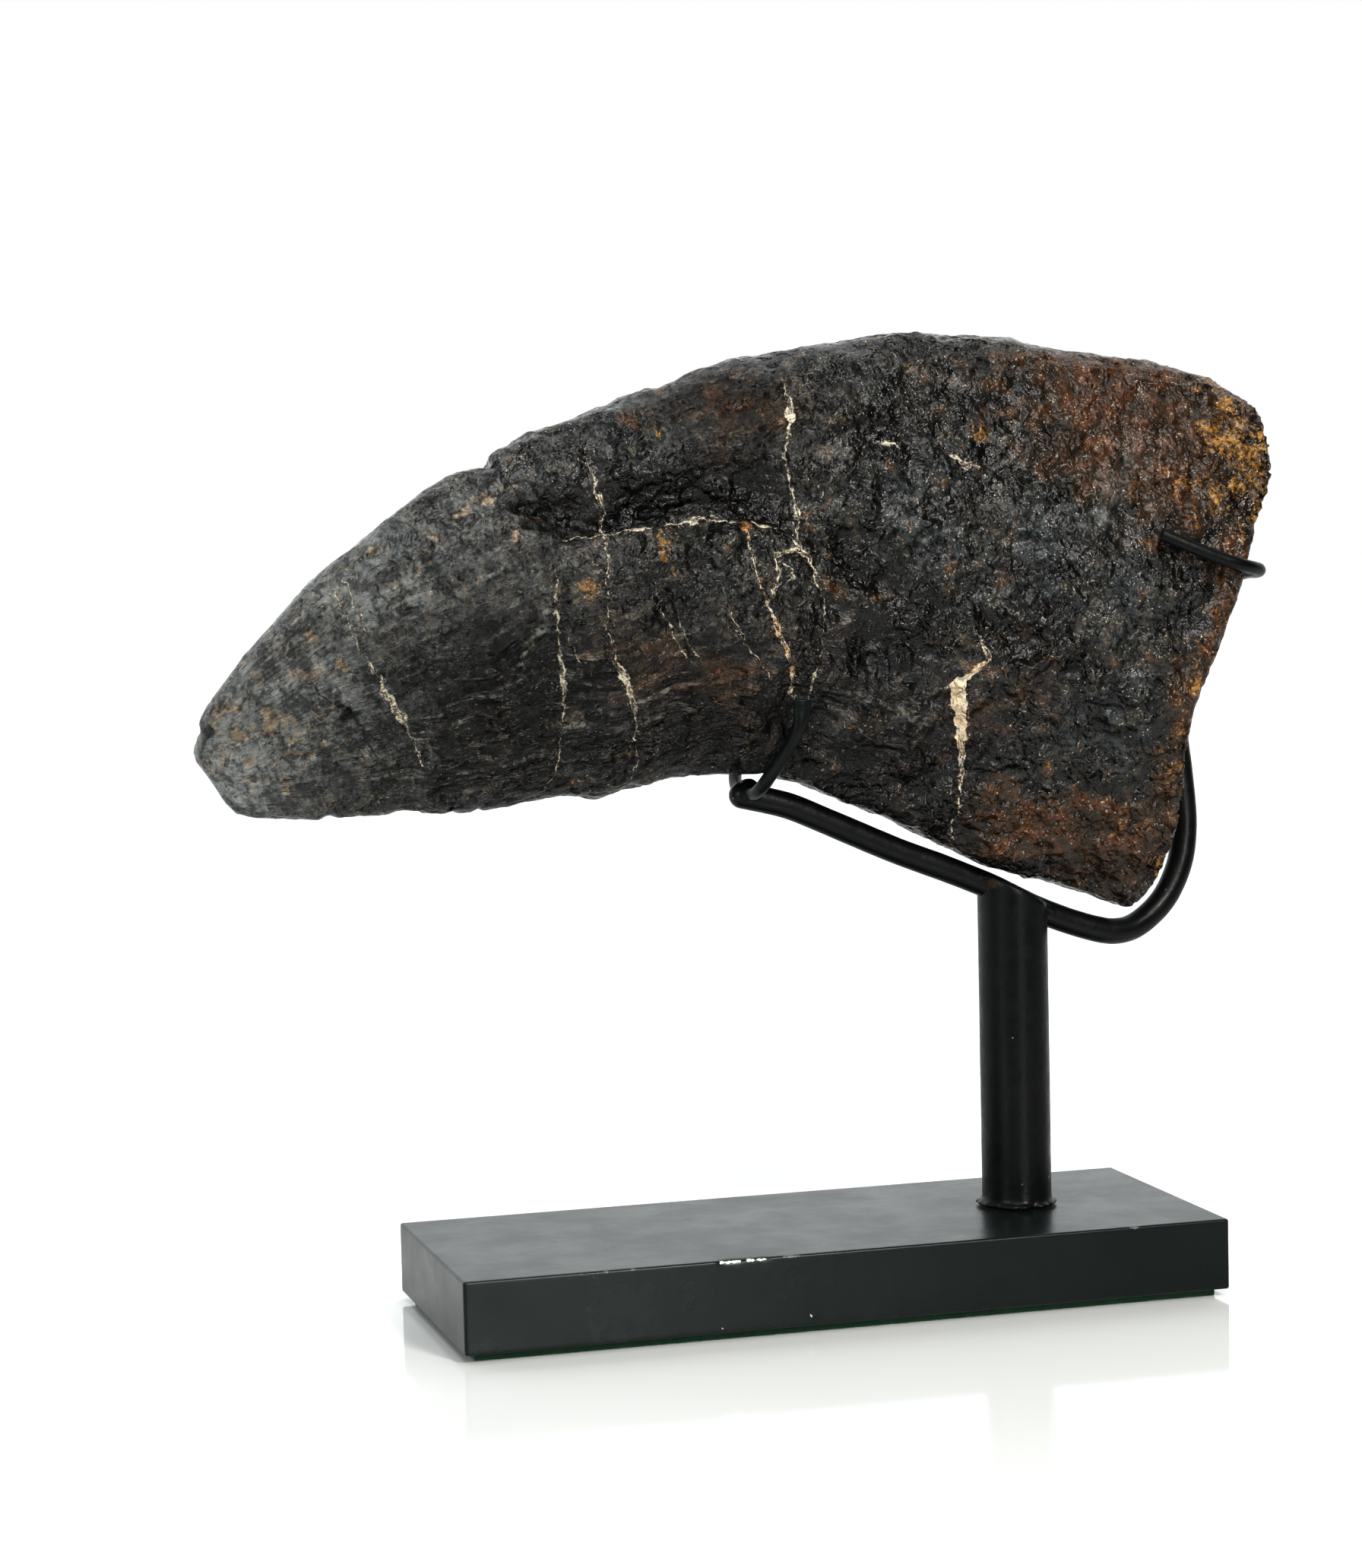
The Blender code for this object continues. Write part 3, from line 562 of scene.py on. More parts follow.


# Painted shade: near black for the dips, the recesses and the empty cracks.
PAINTED_SHADE_BLACK = (0.002, 0.002, 0.002)
CHARCOAL = (0.0038, 0.0032, 0.0026)
SLATE = (0.043, 0.042, 0.033)
BLUE_GREY = (0.037, 0.045, 0.047)
UMBER = (0.036, 0.022, 0.011)
RUST = (0.092, 0.035, 0.011)
DARK_RUST = (0.03, 0.014, 0.006)
GOLD = (0.13, 0.062, 0.018)
BRIGHT_GOLD = (0.35, 0.19, 0.046)
TAN = (0.39, 0.305, 0.205)
# Painted sheen: the pale haze near the tip.
PAINTED_SHEEN_HAZE = (0.265, 0.278, 0.268)
CREAM = (0.64, 0.59, 0.46)
VEIN_EDGE = (0.09, 0.062, 0.036)
ORANGE = (0.56, 0.26, 0.08)
# Pale calcite flecks, also used to paint glints as painted highlights.
PALE_GRAIN_AND_GLINT = (0.42, 0.405, 0.35)
# Two ends of an uneven colour, and what lies on it.
PAINT = ((0.0022, 0.0027, 0.0028), (0.0042, 0.005, 0.0051))
THIN_PAINT = (0.003, 0.008, 0.0065)
RUST_SPECK = (0.042, 0.02, 0.01)
PAINT_DUST = (0.3, 0.3, 0.29)
LACQUER = ((0.0026, 0.006, 0.0056), (0.0046, 0.0092, 0.0086))
LACQUER_DUST = (0.42, 0.43, 0.42)
RUBBED = (0.23, 0.24, 0.235)
BARE_CHIP = (0.7, 0.72, 0.7)
FELT = ((0.005, 0.026, 0.011), (0.02, 0.082, 0.038))
FELT_NAP = (0.03, 0.08, 0.045)
WHITE_GLOSS = ((0.715, 0.728, 0.722), (0.735, 0.745, 0.738))


def fossil_material():
    """Mineralised bone: charcoal with rust, gold and tan areas, cream-filled cracks and a waxed gloss, with
    painted sheen on the tip and the swells, painted glints, and painted shade in dips, creases and recesses.
    """
    s = Shader("fossil_bone")
    total, times, larger, swing = s.total, s.times, s.larger, s.swing
    place = s.place()
    flow = s.node("ShaderNodeAttribute", {}, "Vector", attribute_name="flow")
    rust, gold, painted_sheen = s.kept("stain_and_sheen")
    fibre, recess_shade, tan = s.kept("grain")
    height, dips_with_painted_shade, swells_with_painted_sheen = s.kept("relief")
    broad = s.noise(place, 9.0, 4.0, 0.6)
    patchy = s.noise(place, 3.9)
    grain = s.noise(place, 0.95, 3.0, 0.65)
    fine = s.noise(place, 0.34, 2.0, 0.6)
    streaks = s.noise(s.stretch(flow, (0.16, 1.0, 1.0)), 1.5, 5.0, 0.62, 0.5)

    # grey bone with a brown cast, painted paler and bluer on the swells as painted sheen and darker in the
    # dips as painted shade, and bright dashes on its fibres that paint glints as painted highlights
    fibrous = times(swing(streaks, 1.5), fibre)
    tone = total(swing(grain, 0.75), patchy, fibrous, times(swells_with_painted_sheen, 0.13), times(dips_with_painted_shade, -0.3))
    grey = s.mix(s.step(total(broad, times(swells_with_painted_sheen, 0.12)), 0.42, 0.6), SLATE, BLUE_GREY)
    colour = s.mix(s.step(tone, 0.45, 0.7), CHARCOAL, grey)
    brown = total(swing(broad, 1.6), swing(patchy, 1.6), fibrous, rust, times(swells_with_painted_sheen, -0.3))
    colour = s.mix(s.step(brown, 0.0, 0.55, 0.0, 0.8), colour, UMBER)
    # Painted highlight: pale dashes along the fibres stand in for glints.
    glint_dashes = times(s.step(streaks, 0.56, 0.64), s.step(s.noise(place, 1.3, 2.0), 0.48, 0.57))
    ridged = larger(s.less(fibre, dips_with_painted_shade), 0.0)
    colour = s.mix(times(glint_dashes, ridged, 0.65), colour, PALE_GRAIN_AND_GLINT)

    # rust and gold
    patches = times(swing(patchy, 2.8), s.less(1.0, times(fibre, 0.7)))
    rusty = s.step(total(rust, patches, swing(grain, 1.0), times(fibrous, 1.8)), 0.25, 1.05)
    rusts = s.mix(s.step(total(grain, swing(patchy, 0.6)), 0.4, 0.66), DARK_RUST, RUST)
    colour = s.mix(rusty, colour, rusts)
    golden = s.step(total(gold, swing(fine, 1.2), swing(grain, 3.4), swing(patchy, 2.2)), 0.62, 1.25)
    nugget = s.step(total(s.noise(place, 0.7, 2.0), swing(patchy, 0.8)), 0.52, 0.66)
    colour = s.mix(golden, colour, s.mix(nugget, GOLD, BRIGHT_GOLD))

    # painted sheen: a pale haze of painted highlight near the tip, with worm-like tan lines, and the tan
    # marks
    creases = s.math("POWER", s.size(swing(s.noise(place, 2.9, 2.0, 0.5, 0.3), 2.0)), 0.6)
    clouded = total(swing(grain, 0.9), patchy, times(creases, 0.35))
    colour = s.mix(times(painted_sheen, s.step(clouded, 0.42, 0.8, 0.25, 1.0)), colour, PAINTED_SHEEN_HAZE)
    worm = s.size(swing(s.noise(place, 3.4, 1.0, 0.5, 0.6), 1.0))
    worms = times(s.step(worm, 0.035, 0.015), s.step(s.noise(place, 5.0, 1.0), 0.48, 0.58))
    colour = s.mix(times(worms, painted_sheen, 0.55), colour, TAN)
    tanned = s.step(total(tan, swing(grain, 1.6)), 0.35, 0.9)
    colour = s.mix(times(tanned, 0.75), colour, TAN)

    # pale grains, which also paint glints as painted highlights, and painted shade: darker where the skin is
    # low, near black in the dips and in the recesses
    drawn = s.node("ShaderNodeMix", {0: fibre, 4: place, 5: s.stretch(flow, (0.3, 1.0, 1.0))}, 1,
                   data_type="VECTOR")
    grains_and_glints = s.step(s.spots(drawn, 0.62), 0.34, 0.2)
    chosen = s.step(total(s.noise(place, 0.9, 1.0), swing(patchy, 0.5)), 0.6, 0.66)
    colour = s.mix(times(grains_and_glints, chosen, 0.75), colour, PALE_GRAIN_AND_GLINT)
    # Painted shade in creases, dips and recesses.
    colour = s.mix(s.step(height, -0.12, -0.55, 0.0, 0.8), colour, CHARCOAL)
    colour = s.mix(times(dips_with_painted_shade, 0.5), colour, PAINTED_SHADE_BLACK)
    colour = s.mix(times(recess_shade, 0.85), colour, PAINTED_SHADE_BLACK)

    # what fills the cracks, with crumbs of it beside them
    filled = None
    wander = total(swing(grain, 1.0), swing(s.noise(place, 1.6, 2.0), 1.1))
    broken = s.step(s.noise(place, 1.7, 3.0, 0.65), 0.38, 0.6, 0.05, 1.0)
    scattered = times(s.step(s.spots(place, 0.5), 0.32, 0.2), s.step(s.noise(place, 1.1), 0.5, 0.58))
    upward = times(s.node("ShaderNodeSeparateXYZ", {0: place}, 2), 0.14)
    for channel in range(CHANNELS):
        offset, width, tint = s.kept(f"crack_{channel}")
        empty = s.step(tint, -0.2, -0.8)
        away = s.size(total(offset, wander))
        wide = times(width, larger(broken, s.step(width, 0.24, 0.55, 0.0, 0.88)))
        wide = larger(wide, times(width, empty))
        strands = s.noise(s.node("ShaderNodeCombineXYZ", {0: offset, 1: upward}), 0.26, 2.0, 0.6)
        solid = s.step(width, 0.5, 1.1, 0.0, 0.2)
        fill = s.step(total(strands, swing(fine, 0.7), swing(grain, 0.3), solid), 0.4, 0.64)
        line = s.step(s.less(away, wide), 0.09, -0.1)
        beside = s.step(s.less(away, times(width, 1.6)), 0.7, -0.2)
        vein = larger(times(line, s.step(fill, 0.0, 0.5, 0.45, 1.0)), times(beside, scattered, 0.7))
        inside = times(vein, s.step(width, 0.02, 0.12))
        pigment = s.mix(times(s.step(patchy, 0.35, 0.6), tint), CREAM, ORANGE)
        pigment = s.mix(fill, VEIN_EDGE, pigment)
        # Painted shade: empty cracks are painted near black.
        pigment = s.mix(empty, pigment, PAINTED_SHADE_BLACK)
        colour = s.mix(inside, colour, pigment)
        filled = larger(filled, inside) if filled else inside

    rough = s.step(s.noise(place, 6.5, 2.0), 0.38, 0.62, 0.25, 1.0)
    normal = s.bump(times(patchy, rough), 2.0)
    normal = s.bump(times(creases, rough), 0.95, normal)
    normal = s.bump(times(streaks, fibre), 4.2, normal)
    normal = s.bump(grain, 0.3, normal)
    gloss = s.step(total(s.noise(place, 3.4, 3.0, 0.6), swing(grain, 0.6)), 0.35, 0.65, 0.1, 0.28)
    gloss = total(gloss, times(filled, 0.3))
    s.surface.inputs["Specular IOR Level"].default_value = 0.4
    return s.finish(colour, gloss, normal)


def painted_steel_material():
    """Satin black paint over steel rod, a little uneven from the brush, with rust where it is thin."""
    s = Shader("painted_steel")
    place = s.place()
    rust, thin, _ = s.kept("wear")
    broad = s.noise(place, 7.0)
    fine = s.noise(place, 0.5)
    colour = s.mix(broad, *PAINT)
    speck = s.step(s.total(rust, s.swing(fine, 2.0)), 0.55, 0.85)
    colour = s.mix(s.times(speck, 0.85), colour, RUST_SPECK)
    dust = s.step(s.spots(place, 4.2), 0.055, 0.025)
    colour = s.mix(s.times(dust, 0.5), colour, PAINT_DUST)
    colour = s.mix(thin, colour, THIN_PAINT)
    normal = s.bump(s.noise(place, 1.6, 2.0), 0.06)
    normal = s.bump(fine, 0.02, normal)
    gloss = s.step(s.noise(place, 2.5), 0.3, 0.7, 0.3, 0.42)
    gloss = s.total(gloss, s.times(speck, 0.3))
    s.surface.inputs["Specular IOR Level"].default_value = 0.2
    return s.finish(colour, gloss, normal)


def lacquer_material():
    """Satin black lacquer on a block, with pale chips on its edges and a little dust."""
    s = Shader("black_lacquer")
    place = s.place()
    chip, scuff, _ = s.kept("wear")
    cloud = s.noise(place, 22.0, 4.0, 0.6)
    fine = s.noise(place, 0.45, 3.0, 0.6)
    colour = s.mix(cloud, *LACQUER)
    dust = s.step(s.spots(place, 6.5), 0.03, 0.016)
    colour = s.mix(s.times(dust, 0.45), colour, LACQUER_DUST)
    rubbed = s.step(s.total(scuff, s.swing(fine, 1.2)), 0.4, 0.8)
    colour = s.mix(s.times(rubbed, 0.5), colour, RUBBED)
    bare = s.step(s.total(chip, s.swing(fine, 0.8)), 0.42, 0.58)
    colour = s.mix(bare, colour, BARE_CHIP)
    normal = s.bump(s.noise(place, 2.4), 0.02)
    normal = s.bump(fine, 0.012, normal)
    gloss = s.step(s.noise(place, 14.0, 4.0, 0.65), 0.3, 0.7, 0.26, 0.33)
    gloss = s.total(gloss, s.times(bare, 0.3))
    s.surface.inputs["Specular IOR Level"].default_value = 0.26
    return s.finish(colour, gloss, normal)


def felt_material():
    """Thin dark green felt: matted short fibres."""
    s = Shader("green_felt")
    place = s.place()
    broad = s.noise(place, 5.0, 4.0)
    matted = s.noise(place, 0.35, 5.0, 0.7, 1.2)
    colour = s.mix(matted, *FELT)
    colour = s.mix(s.times(s.step(broad, 0.45, 0.7), 0.4), colour, FELT_NAP)
    s.surface.inputs["Sheen Weight"].default_value = 0.35
    s.surface.inputs["Sheen Roughness"].default_value = 0.5
    s.surface.inputs["Sheen Tint"].default_value = (0.35, 0.60, 0.42, 1.0)
    return s.finish(colour, 0.95, s.bump(matted, 0.22))


def floor_material():
    """A glossy white table top, a little uneven."""
    s = Shader("white_gloss")
    place = s.place()
    cloud = s.noise(place, 900.0, 2.0)
    colour = s.mix(cloud, *WHITE_GLOSS)
    return s.finish(colour, s.step(cloud, 0.3, 0.7, 0.06, 0.08), s.bump(s.noise(place, 60.0, 2.0), 0.02))


# ---------------------------------------------------------------- the claw
def fine_claw():
    """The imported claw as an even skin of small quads."""
    rough = add_object("claw_blank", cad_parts["fossil_claw"].data.copy())
    weld = rough.modifiers.new("closed", "WELD")
    weld.merge_threshold = 0.00001
    even = rough.modifiers.new("even", "REMESH")
    even.mode = "VOXEL"
    even.voxel_size = VOXEL * MM
    even.adaptivity = 0.0
    soft = rough.modifiers.new("soft", "SMOOTH")
    soft.factor = 0.5
    soft.iterations = 4
    bpy.context.view_layer.update()
    mesh = bpy.data.meshes.new_from_object(rough.evaluated_get(bpy.context.evaluated_depsgraph_get()))
    bpy.data.objects.remove(rough, do_unlink=True)
    mesh.name = "fossil_claw_skin"
    for layer in list(mesh.attributes):
        if not layer.is_required and not layer.name.startswith("."):
            mesh.attributes.remove(layer)
    return mesh


def area(x, z, areas):
    """How strongly each place lies in one of a list of areas, whose peaks are 1 unless they say another."""
    strength = np.zeros(len(x))
    for centre_x, centre_z, half_x, half_z, *peak in areas:
        spread = ((x - centre_x) / half_x) ** 2 + ((z - centre_z) / half_z) ** 2
        strength = np.maximum(strength, np.exp(-spread) * (peak[0] if peak else 1.0))
    return strength


def far_side_cracks():
    """Cracks of the far side: they run across the blade as the near side's do, at places of their own."""
    found = []
    walk = np.random.default_rng(5)
    for number, (x, z) in enumerate(FAR_STARTS):
        length = walk.uniform(18.0, 36.0)
        points = []
        thick = walk.uniform(0.12, 0.3)
        for step in range(FAR_POINTS):
            blob = math.exp(-((step - walk.uniform(3.0, 6.0)) / 1.2) ** 2)
            points.append((x, z, thick * walk.uniform(0.4, 1.2) + 0.5 * blob * (number % 2)))
            x += walk.normal(0.3, 0.9)
            z -= length / (FAR_POINTS - 1)
        found.append((number % 2, walk.uniform(0.0, 0.4), tuple(points)))
    return found


def crack_fields(points, cracks, mask):
    """Signed distance, half width and tint of the nearest crack of each channel, at each point."""
    flat = points[:, (0, 2)]
    wander = np.stack([noise(points, 2.2, 61), noise(points, 2.2, 62)], axis=1) * 0.55
    wander += np.stack([noise(points, 0.9, 63), noise(points, 0.9, 64)], axis=1) * 0.22
    flat = flat + wander
    fields = [[np.full(len(points), FAR_AWAY), np.zeros(len(points)), np.zeros(len(points))]
              for _ in range(CHANNELS)]
    for channel, tint, route in cracks:
        field = fields[channel]
        for number, (start, end) in enumerate(zip(route, route[1:])):
            low, high = np.array(start[:2]), np.array(end[:2])
            run = high - low
            length = np.linalg.norm(run)
            reach = flat - low
            along = reach @ run / length ** 2
            share = np.clip(along, 0.0, 1.0)
            gap = np.linalg.norm(reach - share[:, None] * run, axis=1)
            sign = np.where(run[0] * reach[:, 1] - run[1] * reach[:, 0] >= 0.0, 1.0, -1.0)
            beyond = np.zeros(len(points))
            if number == 0:
                beyond = np.maximum(-along * length, 0.0)
            if number == len(route) - 2:
                beyond = np.maximum(beyond, (along - 1.0) * length)
            width = start[2] + (end[2] - start[2]) * share
            width = width * (1.0 - smooth_step(0.0, 0.7, beyond))
            width = width * (1.0 - smooth_step(1.5, CRACK_REACH, gap))
            nearer = (gap < np.abs(field[0])) & mask
            field[0] = np.where(nearer, gap * sign, field[0])
            field[1] = np.where(nearer, width, field[1])
            field[2] = np.where(nearer, tint, field[2])
    return fields


def keep_off_wires(points, normals):
    """Press the skin in where a wire lies on it."""
    wires = ((ROD_ROUTE, ROD_RADIUS), (CLIP_ROUTE, WIRE_RADIUS), (HOOK_ROUTE, WIRE_RADIUS))
    for route, radius in wires:
        centre = smooth_route(route, 1.5)
        gap = np.full(len(points), 99.0)
        for spot in centre:
            gap = np.minimum(gap, np.linalg.norm(points - spot, axis=1))
        need = np.clip(radius + 0.15 - gap, 0.0, 1.0)
        points = points - normals * need[:, None]
    return points


def edge_of(x, z, lowest):
    """The claw's lower or upper edge as a height for each x, read from the skin itself."""
    bins = np.arange(*CLAW_SPAN, EDGE_STEP)
    index = np.clip(np.digitize(x, bins) - 1, 0, len(bins) - 1)
    heights = np.full(len(bins), np.inf if lowest else -np.inf)
    pick = np.minimum if lowest else np.maximum
    pick.at(heights, index, z)
    known = np.isfinite(heights)
    return np.interp(x, bins[known] + EDGE_STEP / 2.0, heights[known])


def claw_layers(points, normals):
    """The skin's relief and colour fields. Returns heights (mm) and a dictionary of fields to store."""
    x, y, z = points.T
    lower = edge_of(x, z, True)
    upper = edge_of(x, z, False)
    share = np.clip((z - lower) / np.maximum(upper - lower, 1.0), 0.0, 1.0)
    flow = np.stack([x, share * FLOW_HEIGHT, y], axis=1)
    near = y < 0.0
    sideways = smooth_step(0.15, 0.6, np.abs(normals[:, 1]))

    wandering = warped(points, 14.0, 3.0, 21)
    wx, _, wz = wandering.T
    fibre = area(wx, wz, FIBRE_AREAS)
    end_face = smooth_step(0.55, 0.9, normals[:, 0]) * smooth_step(30.0, 60.0, x)

    skin = warped(flow, 7.0, 2.6, 31)
    skin = warped(skin, 2.6, 0.8, 35)
    folds = np.abs(noise(skin, (5.0, 3.2, 4.2), 41))
    creases = np.abs(noise(skin, (2.3, 1.6, 2.0), 42))
    rough = 0.30 + 0.70 * smooth_step(-0.25, 0.45, noise(points, 8.0, 75))
    leather = 0.80 * (folds ** 0.7 - 0.45) + 0.50 * rough * (creases ** 0.7 - 0.45)
    strands = noise(warped(flow, 6.0, 1.0, 51), (9.0, 1.25, 1.6), 52)
    strands += 0.6 * noise(warped(flow, 4.0, 0.6, 53), (5.0, 0.55, 1.0), 54)
    dips_with_painted_shade = area(wx, wz, DIPS_WITH_PAINTED_SHADE)
    swells_with_painted_sheen = area(wx, wz, SWELLS_WITH_PAINTED_SHEEN)
    lumps = (0.25 + 0.75 * sideways) * (0.80 * noise(points, 13.0, 71) + 0.55 * noise(points, 6.5, 72))
    lumps += sideways * (0.9 * swells_with_painted_sheen - 1.7 * dips_with_painted_shade)
    gap, label = spots(points, 2.3, 81)
    pits = -0.42 * (label > 0.80) * (1.0 - smooth_step(0.10, 0.34, gap))
    small_gap, small_label = spots(points, 1.25, 83)
    pits -= 0.20 * (small_label > 0.74) * (1.0 - smooth_step(0.12, 0.42, small_gap))
    grit = 0.10 * noise(points, 0.95, 91)

    calm = 1.0 - 0.55 * area(wx, wz, PAINTED_SHEEN_AREAS)
    folded = (1.0 - 0.60 * fibre) * leather * (0.55 + 0.45 * sideways)
    height = lumps + calm * (folded + 0.46 * fibre * strands + pits + grit)
    # Painted shade: how dark the material paints the recesses and the deeper hollows.
    recess_shade = np.zeros(len(points))
    recess = np.zeros(len(points))
    for line, fall, reach, depth in RECESSES:
        route = np.array(line)
        above = wz - np.interp(wx, route[:, 0], route[:, 1])
        ends = smooth_step(route[0, 0] - 1.5, route[0, 0] + 2.5, wx) \
            * (1.0 - smooth_step(route[-1, 0] - 3.0, route[-1, 0] + 1.5, wx))
        cut = smooth_step(-0.15, fall, above) * np.exp(-np.maximum(above, 0.0) / reach) * ends * sideways
        recess -= depth * cut * (1.0 + 0.35 * noise(points, 5.0, 97))
        recess_shade = np.maximum(recess_shade, np.clip(depth * cut, 0.0, 1.0))
    height += recess
    for centre_x, centre_z, half_x, half_z, depth in HOLLOWS:
        here = area(wx, wz, ((centre_x, centre_z, half_x, half_z),)) * sideways
        height -= depth * here
        recess_shade = np.maximum(recess_shade, here * (depth > 0.45))
    shaken = warped(points, 2.0, 0.9, 25)
    tan = area(shaken[:, 0], shaken[:, 2], TAN_MARKS) * near
    height -= 0.30 * smooth_step(0.3, 0.8, tan)

    for centre_x, centre_z, size, rise in NICKS:
        spread = ((x - centre_x) ** 2 + (z - centre_z) ** 2) / size ** 2
        height += rise * np.exp(-spread)
    fields = crack_fields(points, CRACKS, near)
    far = crack_fields(points, far_side_cracks(), ~near)
    crumbs = noise(points, 1.1, 95)
    for mine, other in zip(fields, far):
        for i in range(3):
            mine[i] = np.where(near, mine[i], other[i])
        offset, width, tint = mine
        width *= sideways
        reach = np.abs(offset)
        groove = np.exp(-(reach / 0.5) ** 2) * smooth_step(0.02, 0.2, width)
        height -= np.where(tint < 0.0, 1.3 * width, 0.22) * groove
        patch = smooth_step(0.45, 0.8, width) * np.exp(-(reach / np.maximum(width, 0.1)) ** 2)
        height += 0.55 * patch * (0.4 + 0.9 * crumbs)

    # Of these fields, the stain's third column is painted sheen near the tip, the grain's second is painted
    # shade in the recesses, and the relief's dips and swells are painted darker and paler.
    return height, {
        "stain_and_sheen": (area(wx, wz, RUST_AREAS), np.maximum(area(wx, wz, GOLD_AREAS), 0.75 * end_face),
                  area(wx, wz, PAINTED_SHEEN_AREAS)),
        "grain": (fibre, recess_shade, tan),
        "relief": (height - lumps - recess, dips_with_painted_shade, swells_with_painted_sheen),
        "flow": tuple(warped(flow, 9.0, 1.4, 57).T),
        **{f"crack_{i}": tuple(field) for i, field in enumerate(fields)},
    }


def build_claw():
    mesh = fine_claw()
    points = read_points(mesh)
    normals = read(mesh, "normal")
    height, fields = claw_layers(points, normals)
    points = points + normals * height[:, None]
    points = keep_off_wires(points, normals)
    write_points(mesh, points)
    for name, columns in fields.items():
        store(mesh, name, columns)
    new_piece("fossil_claw_skin", mesh, fossil_material(), "fossil_claw")


# ---------------------------------------------------------------- the stand
def store_rust(mesh, areas=(), strength=1.0):
    """Keep where a painted piece is rusty, for its material to read."""
    points = read_points(mesh)
    rust = area(points[:, 0], points[:, 2], areas) * strength
    store(mesh, "wear", (rust, rust * 0.0, rust * 0.0))


def flattened_tip(count):
    """Widths of the clip's wire: its near end is hammered flat against the claw."""
    place = np.linspace(0.0, 1.0, count)
    flat = 1.0 - smooth_step(0.03, 0.11, place)
    return np.stack([1.0 - 0.38 * flat, 1.0 + 0.30 * flat], axis=1)


def build_wires(steel):
    rod = tube("cradle_rod_painted", ROD_ROUTE, ROD_RADIUS, sides=40, rounded=(True, False))
    roughen(rod, ((9.0, 0.05, 3), (2.5, 0.02, 4)))
    store_rust(rod, ROD_RUST, 0.7)
    new_piece("cradle_rod_painted", rod, steel, "cradle_rod")

    clip = tube("front_clip_painted", CLIP_ROUTE, WIRE_RADIUS, 0.5, 28, 0.2, widths=flattened_tip)
    roughen(clip, ((4.0, 0.03, 5), (1.5, 0.015, 6)))
    tip = 1.0 - smooth_step(1.0, 5.0, np.linalg.norm(read_points(clip) - np.array(CLIP_ROUTE[0]), axis=1))
    store(clip, "wear", (tip * 0.0, tip * 0.6, tip * 0.0))
    new_piece("front_clip_painted", clip, steel, "front_clip")

    hook = tube("rear_hook_painted", HOOK_ROUTE, WIRE_RADIUS, 0.5, 28, 0.15)
    roughen(hook, ((5.0, 0.03, 7), (1.5, 0.012, 8)))
    store_rust(hook)
    new_piece("rear_hook_painted", hook, steel, "rear_hook")


def rod_at_post():
    """Middle and slope of the rod where it crosses the post."""
    before, after = (np.array(ROD_ROUTE[i]) for i in POST_STRETCH)
    return (before + after) / 2.0, math.atan2(after[2] - before[2], after[0] - before[0])


def build_post(steel):
    """The post: a ragged bead round its foot, and a top ground on the slant under the rod."""
    low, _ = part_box("post")
    foot = low[2] / MM
    middle, slope = rod_at_post()
    cosines, sines = circle(POST_SIDES)
    rise = ROD_RADIUS * POST_OVERLAP / math.cos(slope)
    ragged = fractal(np.stack([cosines * 7.0, sines * 7.0, np.zeros(POST_SIDES)], axis=1), 2.6, 15)
    shoulder = foot + FOOT_BEAD[-1][0]

    def top_at(xs):
        return middle[2] + rise + (xs - middle[0]) * math.tan(slope)

    def ring(radius, height):
        """A ring round the post; the height may be a number or may follow the slant of the top."""
        x = POST_X + cosines * radius
        level = height(x) if callable(height) else np.full(POST_SIDES, height)
        return np.stack([x, sines * radius, level], axis=1)

    rings = [ring(FOOT_RADIUS * share, foot) for share in (0.0, 0.5)]
    for height, flare in FOOT_BEAD:
        rings.append(ring(POST_RADIUS + flare * (1.0 + FOOT_RAGGED * ragged), foot + height))
    for share in np.linspace(0.04, 1.0, POST_RINGS):
        rings.append(ring(POST_RADIUS, lambda x: shoulder + (top_at(x) - POST_TOP_EDGE - shoulder) * share))
    for inset, drop in POST_TOP:
        rings.append(ring(POST_RADIUS - inset, lambda x: top_at(x) - drop))
    vertices = np.concatenate(rings)
    faces = ring_faces(len(rings), POST_SIDES)
    faces.append(tuple(range(len(vertices) - POST_SIDES, len(vertices))))
    mesh = mesh_from("post_painted", vertices, faces)
    roughen(mesh, ((6.0, 0.03, 9), (1.8, 0.012, 10)))
    store_rust(mesh, POST_RUST)
    new_piece("post_painted", mesh, steel, "post")


def build_welds(steel):
    """Lumpy beads of weld: round the rod at the post, and where the clip and the hook meet the rod."""
    middle, slope = rod_at_post()
    along = np.array((math.cos(slope), 0.0, math.sin(slope)))
    up = np.array((-math.sin(slope), 0.0, math.cos(slope)))
    across = np.array((0.0, 1.0, 0.0))
    reach = POST_RADIUS / math.cos(slope)
    loop = []
    for turn in np.linspace(0.0, 2.0 * math.pi, 160, endpoint=False):
        place = math.cos(turn)
        side = math.sin(turn)
        out = along * reach * (1.02 * np.sign(place) * min(abs(place) * 1.6, 1.0))
        loop.append(middle + out + across * side * ROD_RADIUS * 1.02 + up * (abs(side) * 2.3 - 1.0) * 0.9)
    loop = np.array(loop)
    weld = closed_tube("post_weld", loop, WELD_RADIUS, 14)
    roughen(weld, ((2.4, 0.30, 17), (1.0, 0.12, 18)))
    store_rust(weld, WELD_RUST)
    new_piece("post_weld", weld, steel)

    for name, spot, size in WELD_LUMPS:
        blob = lump(name, spot, size)
        roughen(blob, ((2.2, 0.25, 19), (0.9, 0.08, 20)))
        store_rust(blob)
        new_piece(name, blob, steel)


